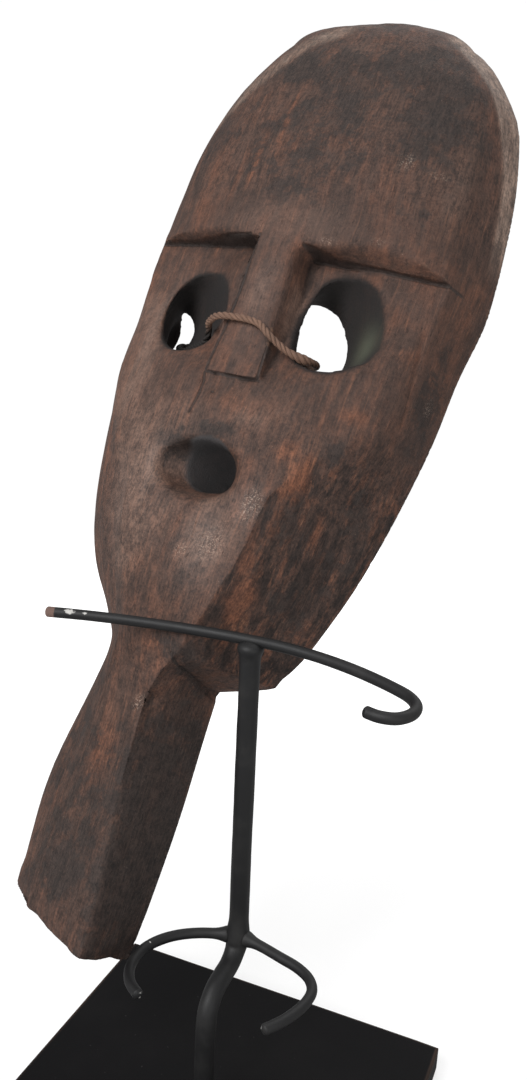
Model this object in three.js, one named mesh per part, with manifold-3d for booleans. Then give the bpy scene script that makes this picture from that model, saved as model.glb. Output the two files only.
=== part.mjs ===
// Carved wooden paddle mask on a black iron stand.
// Millimetres, +Z up. Origin: middle of the underside of the base plate. The stand faces -Y.
import * as THREE from 'three';
import { mergeVertices } from 'three/addons/utils/BufferGeometryUtils.js';
import Module from 'manifold-3d';

const wasm = await Module();
wasm.setup();

// Stand
const GAP = 0.3; // clearance between touching pieces
const BASE_SIDE = 156;
const BASE_THICK = 12;
const BASE_EDGE = 0.8; // small chamfer round the plate
const ROD_R = 4; // upright
const BAR_R = 2.1; // crossbar and cradle arms
const ROD_BACK = 27.6; // how far the upright steps back from the middle of the base
const BEND_LOW = 57; // where the S-bend starts
const BEND_TOP = 76; // where the upright is vertical again
const CRADLE_Z = 78;
const BAR_Z = 207;
const BOW_APEX = [4, 28.7]; // plan position of the crossbar's rearmost point
const BOW_RADIUS_LEFT = 300;
const BOW_RADIUS_RIGHT = 100;
const BOW_LEFT_END = -84;
const BOW_RIGHT_END = 60;
const HOOK = [[67, 8.2], [70.7, 2.5], [70.9, -4], [67.4, -9.3], [62, -10.6], [56.4, -9]];
const ARM_LEFT = [
  [-14.3, 21.5], [-21.7, 16.3], [-26.7, 10.3], [-29.6, 3.8],
  [-30.2, -3.5], [-28.6, -10.5], [-24.8, -16.3], [-18.2, -21],
];
const ARM_RIGHT = [
  [12.4, 25], [21, 22.6], [29.6, 20], [35.7, 16.2], [39, 10.8],
  [39.3, 4.3], [37.6, -2.8], [34.5, -9.9], [30.2, -16.4],
];

// Mask: its own frame has x to the right, y along the length, z out of the face, z = 0 on the back rim.
const MASK_ORIGIN = [-32.9, 137.9, 307.9];
const FACING = -3; // degrees, turned about the vertical
const LEAN_BACK = 30;
const SIDE_LEAN = 3.5;
// Sections along the length.
// Each: y, left and right rim, jaw ridge x z, crown x z, left cheek x z, side fullness.
const SECTIONS = [
  [155.5, -39, 33, 14, 18, -4, 19, -21, 18, 1],
  [150.5, -46.5, 47.5, 20, 25, -3, 26.5, -25, 24.5, 3],
  [137, -56.5, 60, 28, 32, -2, 34, -31, 31, 6],
  [113, -70.5, 73.5, 34, 37.5, -1, 40, -36, 37, 9],
  [63, -82.5, 82.5, 36, 41, 0, 44, -37, 40, 10.5],
  [26, -82, 84.2, 39, 41, 0, 44.8, -40, 40, 10],
  [-8, -81.5, 79.8, 54, 35.5, 0, 45.2, -53, 34, 5.5],
  [-33, -80.5, 78, 60, 32.5, 0, 45.4, -58, 31, 3.5],
  [-60, -77.5, 74, 49, 38, 0, 45.6, -47, 35.5, 3],
  [-84, -73, 69.3, 34.5, 44, 0, 46, -33, 40, 2.5],
  [-104, -67, 64.3, 32, 44, 0, 45.5, -30, 39, 2.2],
  [-121, -59, 58.6, 27.5, 44, 0, 44.5, -24, 37, 2],
  [-137, -46.5, 52.4, 22.5, 43, -2, 42, -18, 35, 1.5],
  [-147, -39, 47, 19, 42, -4, 39.5, -16, 32.5, 1.5],
  [-151.5, -36, 45.5, 17, 40.5, -5, 37, -17, 30, 1.2],
  [-160, -36, 20.6, 12, 38, -6, 32.5, -19, 26, 0.8],
  [-172, -37.5, 20.8, 7, 34, -8, 28, -21, 21.5, 0.8],
  [-218, -43, 22.2, 9, 31.5, -8, 26, -23, 20, 0.8],
  [-255, -40, 21.5, 14.5, 31, -5, 25, -21, 19, 0.8],
  [-284, -37, 20.5, 17, 30, -4, 24, -20, 18, 0.8],
];
const SECTION_STEP = 7; // spacing of the rows worked out between the sections
const JAW_CRISP = -95; // below this the facets are flat, above the next they are full
const JAW_SOFT = -55;
const RIM_INSET = 1.6; // the low bevel above the back rim
const RIM_BEVEL = 6;
const HANDLE_END = { y: -261, slopeX: -0.17, slopeZ: -0.04, fromX: -35 };

// Brow, nose and eye sockets
const BROW_Y = 24; // height where the nose starts
const BROW_LINE = { // outward reach, y
  left: [[0, 28], [10, 28.4], [22, 29.1], [110, 29]],
  right: [[0, 26.8], [13, 25], [24, 24.2], [110, 24.4]],
};
const BROW_LEAN = { // outward reach, lean of the brow underside
  left: [[0, 0], [12, 0], [32, 0.1], [46, 0.24], [100, 0.3]],
  right: [[0, 0], [8, 0], [18, 0.16], [28, 0.45], [38, 0.66], [46, 0.62], [60, 0.4], [100, 0.4]],
};
const NOSE_HALF_TOP = 9.6;
const NOSE_HALF_TIP = 12.9;
const NOSE_TIP_Y = -36.3;
const NOSE_DRAFT = 0.1;
const NOSE_RIDGE = 46; // height where the nose has its stated width
const SOCKET_FLOOR = [ // y, z at the nose
  [60, 28], [28, 29.3], [0, 31], [-20, 35.8], [-36.3, 42.2], [-50, 45.4], [-78, 50],
];
const SOCKET_LOWEST = -80;
const SOCKET_LID = 50; // height above which the sockets are open
const SOCKET_FALL = [[10, 0.2], [45, -1.3], [72, -5.8], [112, -13]]; // x, change of z outward
const TIP_STEP = [[-36.3, 42.4], [-50, 45.6], [-72, 49.4]]; // floor of the cut under the nose tip
const TIP_STEP_HALF = 14;
const CLEAR = 70; // height well above the face, where cuts end

// Eye and mouth openings: centre x y and height, half sizes and squareness at the front and at the back
const EYES = [
  {
    front: [33.7, -2.8, 30], back: [9, -10, 10],
    frontHalf: [20, 23.4], backHalf: [22, 24], square: [2.1, 1.8],
  },
  {
    front: [-34.6, -5.5, 30], back: [-57.5, -8, 10],
    frontHalf: [15, 20.2], backHalf: [11, 13], square: [2.2, 1.9],
  },
];
const THROAT = [1.2, -75, 30];
const THROAT_HALF = [12, 10.5];
const MOUTH_LIP = {
  front: [0.8, -78.8, 46], back: THROAT, frontHalf: [18.8, 13], backHalf: THROAT_HALF, square: [2, 2],
};
const MOUTH_BORE = {
  front: THROAT, back: [7, -79.5, 8], frontHalf: THROAT_HALF, backHalf: [7, 7], square: [2, 2],
};

// Shallow hollow of the back
const HOLLOW_DEPTH = 10;
const HOLLOW_TOP = 132;
const HOLLOW_LOW = -118;
const HOLLOW_SHARE = 0.82; // share of the half width

// Cord round the nose bridge, in the mask frame
const CORD_R = 1.5;
const CORD_KNOT_R = 3.4;
const CORD_ROUTE = [
  [0, -9, 4.2], [-22, -9, 4.2], [-42, -10.2, 4.3], [-50.5, -11.3, 4.7], [-53.2, -12.2, 7], [-51, -12.8, 10],
  [-46, -13, 14], [-38.2, -13, 20], [-30.4, -13, 26], [-25, -13, 31], [-23, -13, 36], [-21.5, -13, 39.5],
  [-18.5, -12.8, 43], [-14.6, -12.4, 46.1], [-10, -12.1, 47.1], [1.9, -12.5, 47.1], [7, -13.8, 47.1],
  [12, -17.3, 47.1], [15.6, -19.3, 44.6], [19.5, -21.1, 41.8], [24, -22.1, 39.4], [27.6, -21.8, 35.6],
  [28.4, -20.3, 30], [25.5, -18, 22], [18.5, -15, 12.5], [10, -11.5, 5.4], [3, -9, 4.2],
];

// Finishes
const wood = new THREE.MeshStandardMaterial({ color: 0x4a3328, roughness: 0.72, metalness: 0 });
const fibre = new THREE.MeshStandardMaterial({ color: 0x6b4630, roughness: 0.9, metalness: 0 });
const ironPaint = () => new THREE.MeshStandardMaterial({ color: 0x1c1a19, roughness: 0.5, metalness: 0.2 });
const platePaint = new THREE.MeshStandardMaterial({ color: 0x121111, roughness: 0.6, metalness: 0.1 });

const toSolid = (geometry) => {
  const bare = geometry.clone();
  bare.deleteAttribute('normal');
  bare.deleteAttribute('uv');
  const merged = mergeVertices(bare, 1e-4);
  return new wasm.Manifold(new wasm.Mesh({
    numProp: 3,
    vertProperties: new Float32Array(merged.attributes.position.array),
    triVerts: new Uint32Array(merged.index.array),
  }));
};

const toGeometry = (solid) => {
  const mesh = solid.getMesh();
  const geometry = new THREE.BufferGeometry();
  geometry.setAttribute('position', new THREE.BufferAttribute(new Float32Array(mesh.vertProperties), 3));
  geometry.setIndex(new THREE.BufferAttribute(new Uint32Array(mesh.triVerts), 1));
  geometry.computeVertexNormals();
  return geometry;
};

// Smooth value between the rows of a table, without overshoot (first column falls from row to row).
const along = (rows, at, column) => {
  const n = rows.length;
  const key = (i) => -rows[i][0];
  const t = Math.min(Math.max(-at, key(0)), key(n - 1));
  let i = 0;
  while (i < n - 2 && key(i + 1) < t) i += 1;
  const slope = (k) => (rows[k + 1][column] - rows[k][column]) / (key(k + 1) - key(k));
  const tangent = (k) => {
    if (k === 0) return slope(0);
    if (k === n - 1) return slope(n - 2);
    const a = slope(k - 1);
    const b = slope(k);
    return a * b <= 0 ? 0 : (2 * a * b) / (a + b);
  };
  const h = key(i + 1) - key(i);
  const s = (t - key(i)) / h;
  const s2 = s * s;
  const s3 = s2 * s;
  return rows[i][column] * (2 * s3 - 3 * s2 + 1) + tangent(i) * h * (s3 - 2 * s2 + s)
    + rows[i + 1][column] * (3 * s2 - 2 * s3) + tangent(i + 1) * h * (s3 - s2);
};

// Straight-line value between the rows of a table whose first column rises or falls steadily.
const between = (rows, at) => {
  const sign = rows[1][0] > rows[0][0] ? 1 : -1;
  let i = 0;
  while (i < rows.length - 2 && sign * rows[i + 1][0] < sign * at) i += 1;
  const s = (at - rows[i][0]) / (rows[i + 1][0] - rows[i][0]);
  return rows[i][1] + s * (rows[i + 1][1] - rows[i][1]);
};

// Closed solid through rings of equal point counts, with flat ends.
const loft = (rings) => {
  const count = rings[0].length;
  const points = rings.flat();
  const index = [];
  for (let r = 0; r + 1 < rings.length; r += 1) {
    for (let k = 0; k < count; k += 1) {
      const a = r * count + k;
      const b = r * count + ((k + 1) % count);
      index.push(a, b, a + count, b, b + count, a + count);
    }
  }
  const cap = (ring, start, flip) => {
    const centre = ring.reduce((sum, p) => sum.add(p), new THREE.Vector3()).multiplyScalar(1 / count);
    const normal = new THREE.Vector3();
    ring.forEach((p, k) => normal.add(p.clone().sub(centre).cross(ring[(k + 1) % count].clone().sub(centre))));
    normal.normalize();
    const side = ring[0].clone().sub(centre).normalize();
    const up = normal.clone().cross(side);
    const flat = ring.map((p) => p.clone().sub(centre)).map((p) => new THREE.Vector2(p.dot(side), p.dot(up)));
    THREE.ShapeUtils.triangulateShape(flat, []).forEach(([a, b, c]) => {
      if (flip) index.push(start + a, start + c, start + b);
      else index.push(start + a, start + b, start + c);
    });
  };
  cap(rings[0], 0, true);
  cap(rings[rings.length - 1], (rings.length - 1) * count, false);
  let volume = 0;
  for (let t = 0; t < index.length; t += 3) {
    const [a, b, c] = [points[index[t]], points[index[t + 1]], points[index[t + 2]]];
    volume += a.dot(b.clone().cross(c));
  }
  if (volume < 0) {
    for (let t = 0; t < index.length; t += 3) [index[t + 1], index[t + 2]] = [index[t + 2], index[t + 1]];
  }
  const geometry = new THREE.BufferGeometry().setFromPoints(points);
  geometry.setIndex(index);
  return geometry;
};

const at = (x, y, z) => new THREE.Vector3(x, y, z);

// One cross-section of the block, from the right rim over the face to the left rim.
const sectionRing = (y) => {
  const columns = [1, 2, 3, 4, 5, 6, 7, 8, 9].map((c) => along(SECTIONS, y, c));
  const [left, right, ridgeX, ridgeZ, crownX, crownZ, cheekX, cheekZ, full] = columns;
  const bevel = Math.min(RIM_BEVEL, ridgeZ * 0.25);
  const side = (rim, inset, x, z, amount) => {
    const low = new THREE.Vector2(rim + inset, bevel);
    const high = new THREE.Vector2(x, z);
    const run = high.clone().sub(low);
    const out = new THREE.Vector2(Math.abs(run.y) * Math.sign(-inset), Math.abs(run.x)).normalize();
    return low.clone().addScaledVector(run, 0.42).addScaledVector(out, amount);
  };
  const marks = [
    new THREE.Vector2(right - RIM_INSET, bevel),
    side(right, -RIM_INSET, ridgeX, ridgeZ, full),
    new THREE.Vector2(ridgeX, ridgeZ),
    new THREE.Vector2(crownX, crownZ),
    new THREE.Vector2(cheekX, cheekZ),
    side(left, RIM_INSET, cheekX, cheekZ, full * 0.78),
    new THREE.Vector2(left + RIM_INSET, bevel),
  ];
  const soft = THREE.MathUtils.smoothstep(y, JAW_CRISP, JAW_SOFT);
  const ring = [at(right, y, 0)];
  for (let k = 0; k + 1 < marks.length; k += 1) {
    const a = marks[k];
    const b = marks[k + 1];
    const before = marks[Math.max(k - 1, 0)];
    const after = marks[Math.min(k + 2, marks.length - 1)];
    ring.push(at(a.x, y, a.y));
    const parts = k === 0 || k === marks.length - 2 ? 1 : 3;
    for (let m = 1; m < parts; m += 1) {
      const s = m / parts;
      const straight = a.clone().lerp(b, s);
      const curved = new THREE.SplineCurve([before, a, b, after]).getPoint((1 + s) / 3);
      straight.lerp(curved, 0.25 + 0.75 * soft);
      ring.push(at(straight.x, y, straight.y));
    }
  }
  const last = marks[marks.length - 1];
  ring.push(at(last.x, y, last.y), at(left, y, 0));
  return ring;
};

const blockRows = [];
for (let k = 0; k + 1 < SECTIONS.length; k += 1) {
  const span = SECTIONS[k][0] - SECTIONS[k + 1][0];
  const steps = Math.max(1, Math.round(span / SECTION_STEP));
  for (let m = 0; m < steps; m += 1) blockRows.push(SECTIONS[k][0] - (span * m) / steps);
}
blockRows.push(SECTIONS[SECTIONS.length - 1][0]);
let carving = toSolid(loft(blockRows.map(sectionRing)));

// Slanted lower end of the handle.
const endY = (x, z) => HANDLE_END.y + HANDLE_END.slopeX * (x - HANDLE_END.fromX) + HANDLE_END.slopeZ * z;
carving = carving.subtract(toSolid(loft([-80, 80].map((x) => [
  at(x, endY(x, -20), -20), at(x, endY(x, 80), 80), at(x, -400, 80), at(x, -400, -20),
]))));

// Eye sockets: floor below the brow, side wall of the nose, leaning underside of the brow.
const noseHalf = (y) => THREE.MathUtils.mapLinear(y, BROW_Y, NOSE_TIP_Y, NOSE_HALF_TOP, NOSE_HALF_TIP);
const socket = (sign, browLine, browLean) => {
  const outward = Array.from({ length: 19 }, (_, k) => (k < 18 ? 3.9 * k : 100));
  const rows = 10;
  const rings = outward.map((reach) => {
    const browAt = between(browLine, reach);
    const floorPath = [];
    const lidPath = [];
    for (let k = 0; k <= rows; k += 1) {
      const y = browAt + (SOCKET_LOWEST - browAt) * (k / rows);
      const z = between(SOCKET_FLOOR, y) + between(SOCKET_FALL, noseHalf(y) + reach);
      const lean = k === 0 ? between(browLean, reach) * (SOCKET_LID - z) : 0;
      const floorX = noseHalf(y) + NOSE_DRAFT * (NOSE_RIDGE - z) + reach;
      const lidX = noseHalf(y) - NOSE_DRAFT * (SOCKET_LID - NOSE_RIDGE) + reach;
      floorPath.push(at(sign * floorX, y, Math.min(z, SOCKET_LID - 1)));
      lidPath.unshift(at(sign * lidX, y + lean, SOCKET_LID));
    }
    return [...floorPath, ...lidPath];
  });
  return loft(rings);
};
carving = carving.subtract(toSolid(socket(1, BROW_LINE.right, BROW_LEAN.right)))
  .subtract(toSolid(socket(-1, BROW_LINE.left, BROW_LEAN.left)));
const tipStart = TIP_STEP[0][0];
const tipEnd = TIP_STEP[TIP_STEP.length - 1][0];
carving = carving.subtract(toSolid(loft([-TIP_STEP_HALF, TIP_STEP_HALF].map((x) => [
  ...TIP_STEP.map(([y, z]) => at(x, y, z)), at(x, tipEnd, CLEAR), at(x, tipStart, CLEAR),
]))));

// Slanting openings of the eyes and the mouth.
const bore = ({ front, back, frontHalf, backHalf, square }, before, after, sides = 28) => {
  const ring = ([s, rise]) => Array.from({ length: sides }, (_, k) => {
    const turn = (2 * Math.PI * (k + 0.5)) / sides;
    const mix = (a, b) => a + (b - a) * s;
    const rounded = (value) => Math.sign(value) * Math.pow(Math.abs(value), 2 / mix(...square));
    return at(
      mix(front[0], back[0]) + mix(frontHalf[0], backHalf[0]) * rounded(Math.cos(turn)),
      mix(front[1], back[1]) + mix(frontHalf[1], backHalf[1]) * rounded(Math.sin(turn)),
      mix(front[2], back[2]) + rise,
    );
  });
  const stops = [[0, 0], [1, 0]];
  if (before > 0) stops.unshift([0, before]);
  if (after > 0) stops.push([1 + after, 0]);
  return loft(stops.map(ring));
};
EYES.forEach((eye) => { carving = carving.subtract(toSolid(bore(eye, 14, 0.2))); });
carving = carving.subtract(toSolid(bore(MOUTH_LIP, 3, 0)));
carving = carving.subtract(toSolid(bore(MOUTH_BORE, 0.1, 0.35, 20)));

// Shallow hollow of the back.
const hollowRows = 18;
const hollowRings = [];
for (let r = 1; r < hollowRows; r += 1) {
  const s = r / hollowRows;
  const y = HOLLOW_TOP + (HOLLOW_LOW - HOLLOW_TOP) * (0.5 - 0.5 * Math.cos(Math.PI * s));
  const swell = Math.pow(Math.max(0, 1 - Math.pow(Math.abs(Math.cos(Math.PI * s)), 3)), 0.5);
  const left = along(SECTIONS, y, 1) * HOLLOW_SHARE * swell;
  const right = along(SECTIONS, y, 2) * HOLLOW_SHARE * swell;
  const ring = [];
  const arc = 12;
  for (let k = 0; k <= arc; k += 1) {
    const turn = Math.PI * (k / arc);
    const x = (left + right) / 2 + ((right - left) / 2) * Math.cos(turn);
    ring.push(at(x, y, HOLLOW_DEPTH * swell * Math.pow(Math.sin(turn), 0.6)));
  }
  ring.push(at(left, y, -8), at(right, y, -8));
  hollowRings.push(ring);
}
carving = carving.subtract(toSolid(loft(hollowRings)));

const round = (radius, sides) => {
  const shape = new THREE.Shape();
  for (let k = 0; k < sides; k += 1) {
    const turn = (2 * Math.PI * k) / sides;
    if (k === 0) shape.moveTo(radius, 0);
    else shape.lineTo(radius * Math.cos(turn), radius * Math.sin(turn));
  }
  shape.closePath();
  return shape;
};
const tube = (points, radius, steps, sides = 14) => new THREE.ExtrudeGeometry(round(radius, sides), {
  steps, bevelEnabled: false, extrudePath: new THREE.CatmullRomCurve3(points, false, 'centripetal'),
});

// Cord: an open run whose two ends meet in a small knot behind the nose.
const cordRun = toSolid(tube(CORD_ROUTE.map((p) => at(...p)), CORD_R, 70, 8));
const knot = new THREE.SphereGeometry(CORD_KNOT_R, 12, 8);
knot.translate(CORD_ROUTE[0][0] + 1, CORD_ROUTE[0][1], CORD_ROUTE[0][2]);
const cord = cordRun.add(toSolid(knot));

// Stand pieces
const plateShape = new THREE.Shape();
const half = BASE_SIDE / 2 - BASE_EDGE;
plateShape.moveTo(-half, -half).lineTo(half, -half).lineTo(half, half).lineTo(-half, half).closePath();
const plate = new THREE.ExtrudeGeometry(plateShape, {
  depth: BASE_THICK - 2 * BASE_EDGE, steps: 1,
  bevelEnabled: true, bevelThickness: BASE_EDGE, bevelSize: BASE_EDGE, bevelSegments: 1,
});
plate.translate(0, 0, BASE_EDGE);

const upright = tube([
  at(0, 0, BASE_THICK + GAP), at(0, 0, 34), at(0, 0, BEND_LOW - 4), at(0, 1.5, BEND_LOW + 4.5),
  at(0, 7, BEND_LOW + 9.5), at(0, 14, BEND_LOW + 11), at(0, ROD_BACK - 7, BEND_TOP - 7),
  at(0, ROD_BACK - 1.5, BEND_TOP - 3), at(0, ROD_BACK, BEND_TOP + 3),
  at(0, ROD_BACK, 120), at(0, ROD_BACK, BAR_Z - BAR_R - GAP),
], ROD_R, 48, 14);

const bow = [];
for (let k = 0; k <= 9; k += 1) {
  const x = BOW_LEFT_END + ((BOW_RIGHT_END - BOW_LEFT_END) * k) / 9;
  const reach = x - BOW_APEX[0];
  const radius = reach < 0 ? BOW_RADIUS_LEFT : BOW_RADIUS_RIGHT;
  bow.push(at(x, BOW_APEX[1] - (reach * reach) / (2 * radius), BAR_Z));
}
const crossbar = tube([...bow, ...HOOK.map(([x, y]) => at(x, y, BAR_Z))], BAR_R, 60, 12);

// Each arm starts at the skin of the upright.
const arm = (plan) => {
  const hub = new THREE.Vector2(0, ROD_BACK);
  const lead = new THREE.Vector2(...plan[0]).sub(hub).normalize().multiplyScalar(ROD_R + 2 * GAP).add(hub);
  const route = [at(lead.x, lead.y, CRADLE_Z), ...plan.map(([x, y]) => at(x, y, CRADLE_Z))];
  return tube(route, BAR_R, 28, 12);
};

// Assembly
const piece = (name, geometry, material) => {
  const mesh = new THREE.Mesh(geometry, material);
  mesh.name = name;
  return mesh;
};
const group = new THREE.Group();
group.add(piece('base', plate, platePaint));
group.add(piece('upright', upright, ironPaint()));
group.add(piece('crossbar', crossbar, ironPaint()));
group.add(piece('cradle_arm_left', arm(ARM_LEFT), ironPaint()));
group.add(piece('cradle_arm_right', arm(ARM_RIGHT), ironPaint()));

const face = new THREE.Group();
face.rotation.z = THREE.MathUtils.degToRad(-SIDE_LEAN);
face.add(piece('mask', toGeometry(carving), wood), piece('nose_cord', toGeometry(cord), fibre));
const lean = new THREE.Group();
lean.rotation.x = THREE.MathUtils.degToRad(90 - LEAN_BACK);
lean.add(face);
const facing = new THREE.Group();
facing.rotation.z = THREE.MathUtils.degToRad(FACING);
facing.position.set(...MASK_ORIGIN);
facing.add(lean);
group.add(facing);

export default group;
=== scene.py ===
"""Carved paddle mask with a twisted nose cord, standing in a black iron rod stand on a square plate."""

import logging
import math
from dataclasses import dataclass
from enum import Enum
from typing import Any, Sequence

import bmesh
import bpy
import numpy as np
from mathutils import Matrix, Vector
from mathutils.bvhtree import BVHTree
from mathutils.kdtree import KDTree


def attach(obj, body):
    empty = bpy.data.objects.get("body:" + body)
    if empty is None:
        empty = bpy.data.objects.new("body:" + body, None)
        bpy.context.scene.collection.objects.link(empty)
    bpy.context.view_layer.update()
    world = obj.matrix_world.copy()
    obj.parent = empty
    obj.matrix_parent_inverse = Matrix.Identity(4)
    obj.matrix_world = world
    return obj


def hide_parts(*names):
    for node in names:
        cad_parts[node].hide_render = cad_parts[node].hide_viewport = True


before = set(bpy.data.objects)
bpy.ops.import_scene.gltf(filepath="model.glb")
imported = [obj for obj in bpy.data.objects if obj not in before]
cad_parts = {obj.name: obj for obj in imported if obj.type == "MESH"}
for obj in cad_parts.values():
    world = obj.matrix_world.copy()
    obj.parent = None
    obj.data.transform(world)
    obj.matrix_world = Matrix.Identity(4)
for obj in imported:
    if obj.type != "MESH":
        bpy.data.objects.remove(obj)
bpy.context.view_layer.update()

MM = 0.001
BODY = "root"
FINE_STEPS = 40
Colour = tuple[float, float, float, float]
Place = tuple[float, float, float]

log = logging.getLogger("paddle_mask")


class Slot(Enum):
    """Names of the material slots, one for each finish."""

    WOOD = "carved_wood"
    FIBRE = "plant_fibre"
    ROD = "black_rod"
    PLATE = "black_plate"


class EndLook(Enum):
    """How a rod's end looks; a glinting end gets a painted highlight of bare steel."""

    PLAIN = 0.0
    GLINT = 0.5
    RUSTY = 1.0


class Wire:
    """A node socket that takes part in Python arithmetic. Each operation adds a Math node."""

    def __init__(self, graph: "Graph", socket: bpy.types.NodeSocket) -> None:
        """Keep the tree and the socket."""
        self.graph = graph
        self.socket = socket

    def _math(self, operation: str, *values: Any) -> "Wire":
        """One Math node over the given values."""
        return self.graph.node("ShaderNodeMath", {"operation": operation}, dict(enumerate(values)))

    def __add__(self, other: Any) -> "Wire":
        """Sum."""
        return self._math("ADD", self, other)

    __radd__ = __add__

    def __sub__(self, other: Any) -> "Wire":
        """Difference."""
        return self._math("SUBTRACT", self, other)

    def __rsub__(self, other: Any) -> "Wire":
        """Difference from a number."""
        return self._math("SUBTRACT", other, self)

    def __mul__(self, other: Any) -> "Wire":
        """Product."""
        return self._math("MULTIPLY", self, other)

    __rmul__ = __mul__

    def __pow__(self, power: float) -> "Wire":
        """Power."""
        return self._math("POWER", self, power)

    def larger(self, other: Any) -> "Wire":
        """The larger of two values."""
        return self._math("MAXIMUM", self, other)

    def smaller(self, other: Any) -> "Wire":
        """The smaller of two values."""
        return self._math("MINIMUM", self, other)

    def span(self, low: float, high: float) -> "Wire":
        """Smooth step of a value.

        Args:
            low: value that gives 0.
            high: value that gives 1.

        Returns:
            The step.
        """
        ends = (low, high, 0.0, 1.0) if low < high else (high, low, 1.0, 0.0)
        return self.graph.node(
            "ShaderNodeMapRange", {"interpolation_type": "SMOOTHSTEP"}, {0: self, **dict(enumerate(ends, 1))}
        )


class Graph:
    """Node tree of one finish."""

    def __init__(self, name: str) -> None:
        """Start an empty material.

        Args:
            name: the material's name.
        """
        self.material = bpy.data.materials.new(name)
        self.material.use_nodes = True
        self.tree = self.material.node_tree
        self.tree.nodes.clear()

    def node(
        self,
        kind: str,
        settings: dict[str, Any] | None = None,
        inputs: dict[int | str, Any] | None = None,
        output: int | str = 0,
    ) -> Wire:
        """Add any node.

        Args:
            kind: the node's type.
            settings: the node's own settings, set first.
            inputs: values or wires by socket name or number.
            output: the socket that is handed back.

        Returns:
            The chosen output.
        """
        made = self.tree.nodes.new(kind)
        for name, value in (settings or {}).items():
            setattr(made, name, value)
        for key, value in (inputs or {}).items():
            if isinstance(value, Wire):
                self.tree.links.new(value.socket, made.inputs[key])
            else:
                made.inputs[key].default_value = value
        return Wire(self, made.outputs[output])

    def mix(self, share: Any, first: Any, second: Any, mode: str = "MIX") -> Wire:
        """Mix two colours.

        Args:
            share: how much of the second colour shows.
            first: colour at 0.
            second: colour at 1.
            mode: the mixing rule.

        Returns:
            The mixed colour.
        """
        settings = {"data_type": "RGBA", "blend_type": mode, "clamp_factor": True}
        return self.node("ShaderNodeMix", settings, {0: share, 6: first, 7: second}, 2)

    def vector(self, x: Any, y: Any, z: Any) -> Wire:
        """A vector from three values."""
        return self.node("ShaderNodeCombineXYZ", None, {0: x, 1: y, 2: z})

    def noise(self, place: Wire, scale: float, detail: float = 3.0, rough: float = 0.55) -> Wire:
        """Soft noise from 0 to 1.

        Args:
            place: where it is read.
            scale: cells per unit of length.
            detail: number of finer layers.
            rough: share of the finer layers.

        Returns:
            The noise value.
        """
        values = {"Vector": place, "Scale": scale, "Detail": detail, "Roughness": rough}
        return self.node("ShaderNodeTexNoise", {"noise_dimensions": "3D"}, values, 0)

    def drawn(self, along: tuple[Wire, Wire, Wire], cells: Place, detail: float, rough: float) -> Wire:
        """Noise drawn out along one axis.

        Args:
            along: the three coordinates.
            cells: cells per unit of length on each of them.
            detail: number of finer layers.
            rough: share of the finer layers.

        Returns:
            The noise value.
        """
        stretched = self.vector(*(part * count for part, count in zip(along, cells)))
        return self.noise(stretched, 1.0, detail, rough)

    def place(self) -> Wire:
        """Position in the row frame, in metres."""
        return self.node("ShaderNodeTexCoord", None, None, "Object")

    def mark(self, name: str) -> Wire:
        """A value painted on the mesh."""
        return self.node("ShaderNodeAttribute", {"attribute_name": name}, None, "Fac")

    @staticmethod
    def away(x: Wire, y: Wire, line: Sequence[tuple[float, float]]) -> Wire:
        """Distance in a plane from a line of straight stretches.

        Args:
            x: first coordinate.
            y: second coordinate.
            line: the line's corners.

        Returns:
            The distance.
        """
        best = None
        for (ax, ay), (bx, by) in zip(line, line[1:]):
            dx, dy = bx - ax, by - ay
            long = dx * dx + dy * dy
            share = ((x - ax) * (dx / long) + (y - ay) * (dy / long)).larger(0.0).smaller(1.0)
            off_x, off_y = x - ax - share * dx, y - ay - share * dy
            gap = (off_x * off_x + off_y * off_y) ** 0.5
            best = gap if best is None else best.smaller(gap)
        return best

    def bump(self, height: Wire, strength: float, depth: float) -> Wire:
        """Surface normal from a height."""
        inputs = {"Strength": strength, "Distance": depth, "Height": height}
        return self.node("ShaderNodeBump", None, inputs, "Normal")

    def close(self, inputs: dict[str, Any]) -> bpy.types.Material:
        """End the tree in one surface shader.

        Args:
            inputs: values or wires of the surface shader.

        Returns:
            The finished material.
        """
        surface = self.node("ShaderNodeBsdfPrincipled", None, inputs)
        end = self.tree.nodes.new("ShaderNodeOutputMaterial")
        self.tree.links.new(surface.socket, end.inputs["Surface"])
        return self.material


class Waves:
    """Seeded smooth noise over points in space."""

    def __init__(self, seed: int) -> None:
        """Draw the lattice.

        Args:
            seed: starting number of the draw.
        """
        draw = np.random.default_rng(seed)
        self.order = draw.permutation(256)
        self.level = draw.uniform(-1.0, 1.0, 256)

    def at(self, points: np.ndarray) -> np.ndarray:
        """Noise from -1 to 1.

        Args:
            points: n by 3 places, one cell per unit.

        Returns:
            n values.
        """
        cell = np.floor(points).astype(int)
        part = points - cell
        blend = part**3 * (part * (part * 6 - 15) + 10)
        total = np.zeros(len(points))
        for corner in range(8):
            step = [corner & 1, corner >> 1 & 1, corner >> 2 & 1]
            key = np.zeros(len(points), int)
            weight = np.ones(len(points))
            for axis in range(3):
                key = self.order[(key + cell[:, axis] + step[axis]) & 255]
                weight = weight * (blend[:, axis] if step[axis] else 1 - blend[:, axis])
            total += weight * self.level[key]
        return total

    def layered(self, points: np.ndarray, layers: int = 3) -> np.ndarray:
        """Sum of finer and weaker layers of the noise."""
        return sum(self.at(points * 2**k + 17 * k) / 2**k for k in range(layers))


def ease(values: np.ndarray, low: float | np.ndarray, high: float | np.ndarray) -> np.ndarray:
    """Smooth step from 0 at low to 1 at high."""
    s = np.clip((values - low) / (high - low), 0, 1)
    return s * s * (3 - 2 * s)


def lengths(line: np.ndarray) -> np.ndarray:
    """Length run from a line's start to each of its places."""
    return np.concatenate([[0], np.cumsum(np.linalg.norm(np.diff(line, axis=0), axis=1))])


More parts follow.
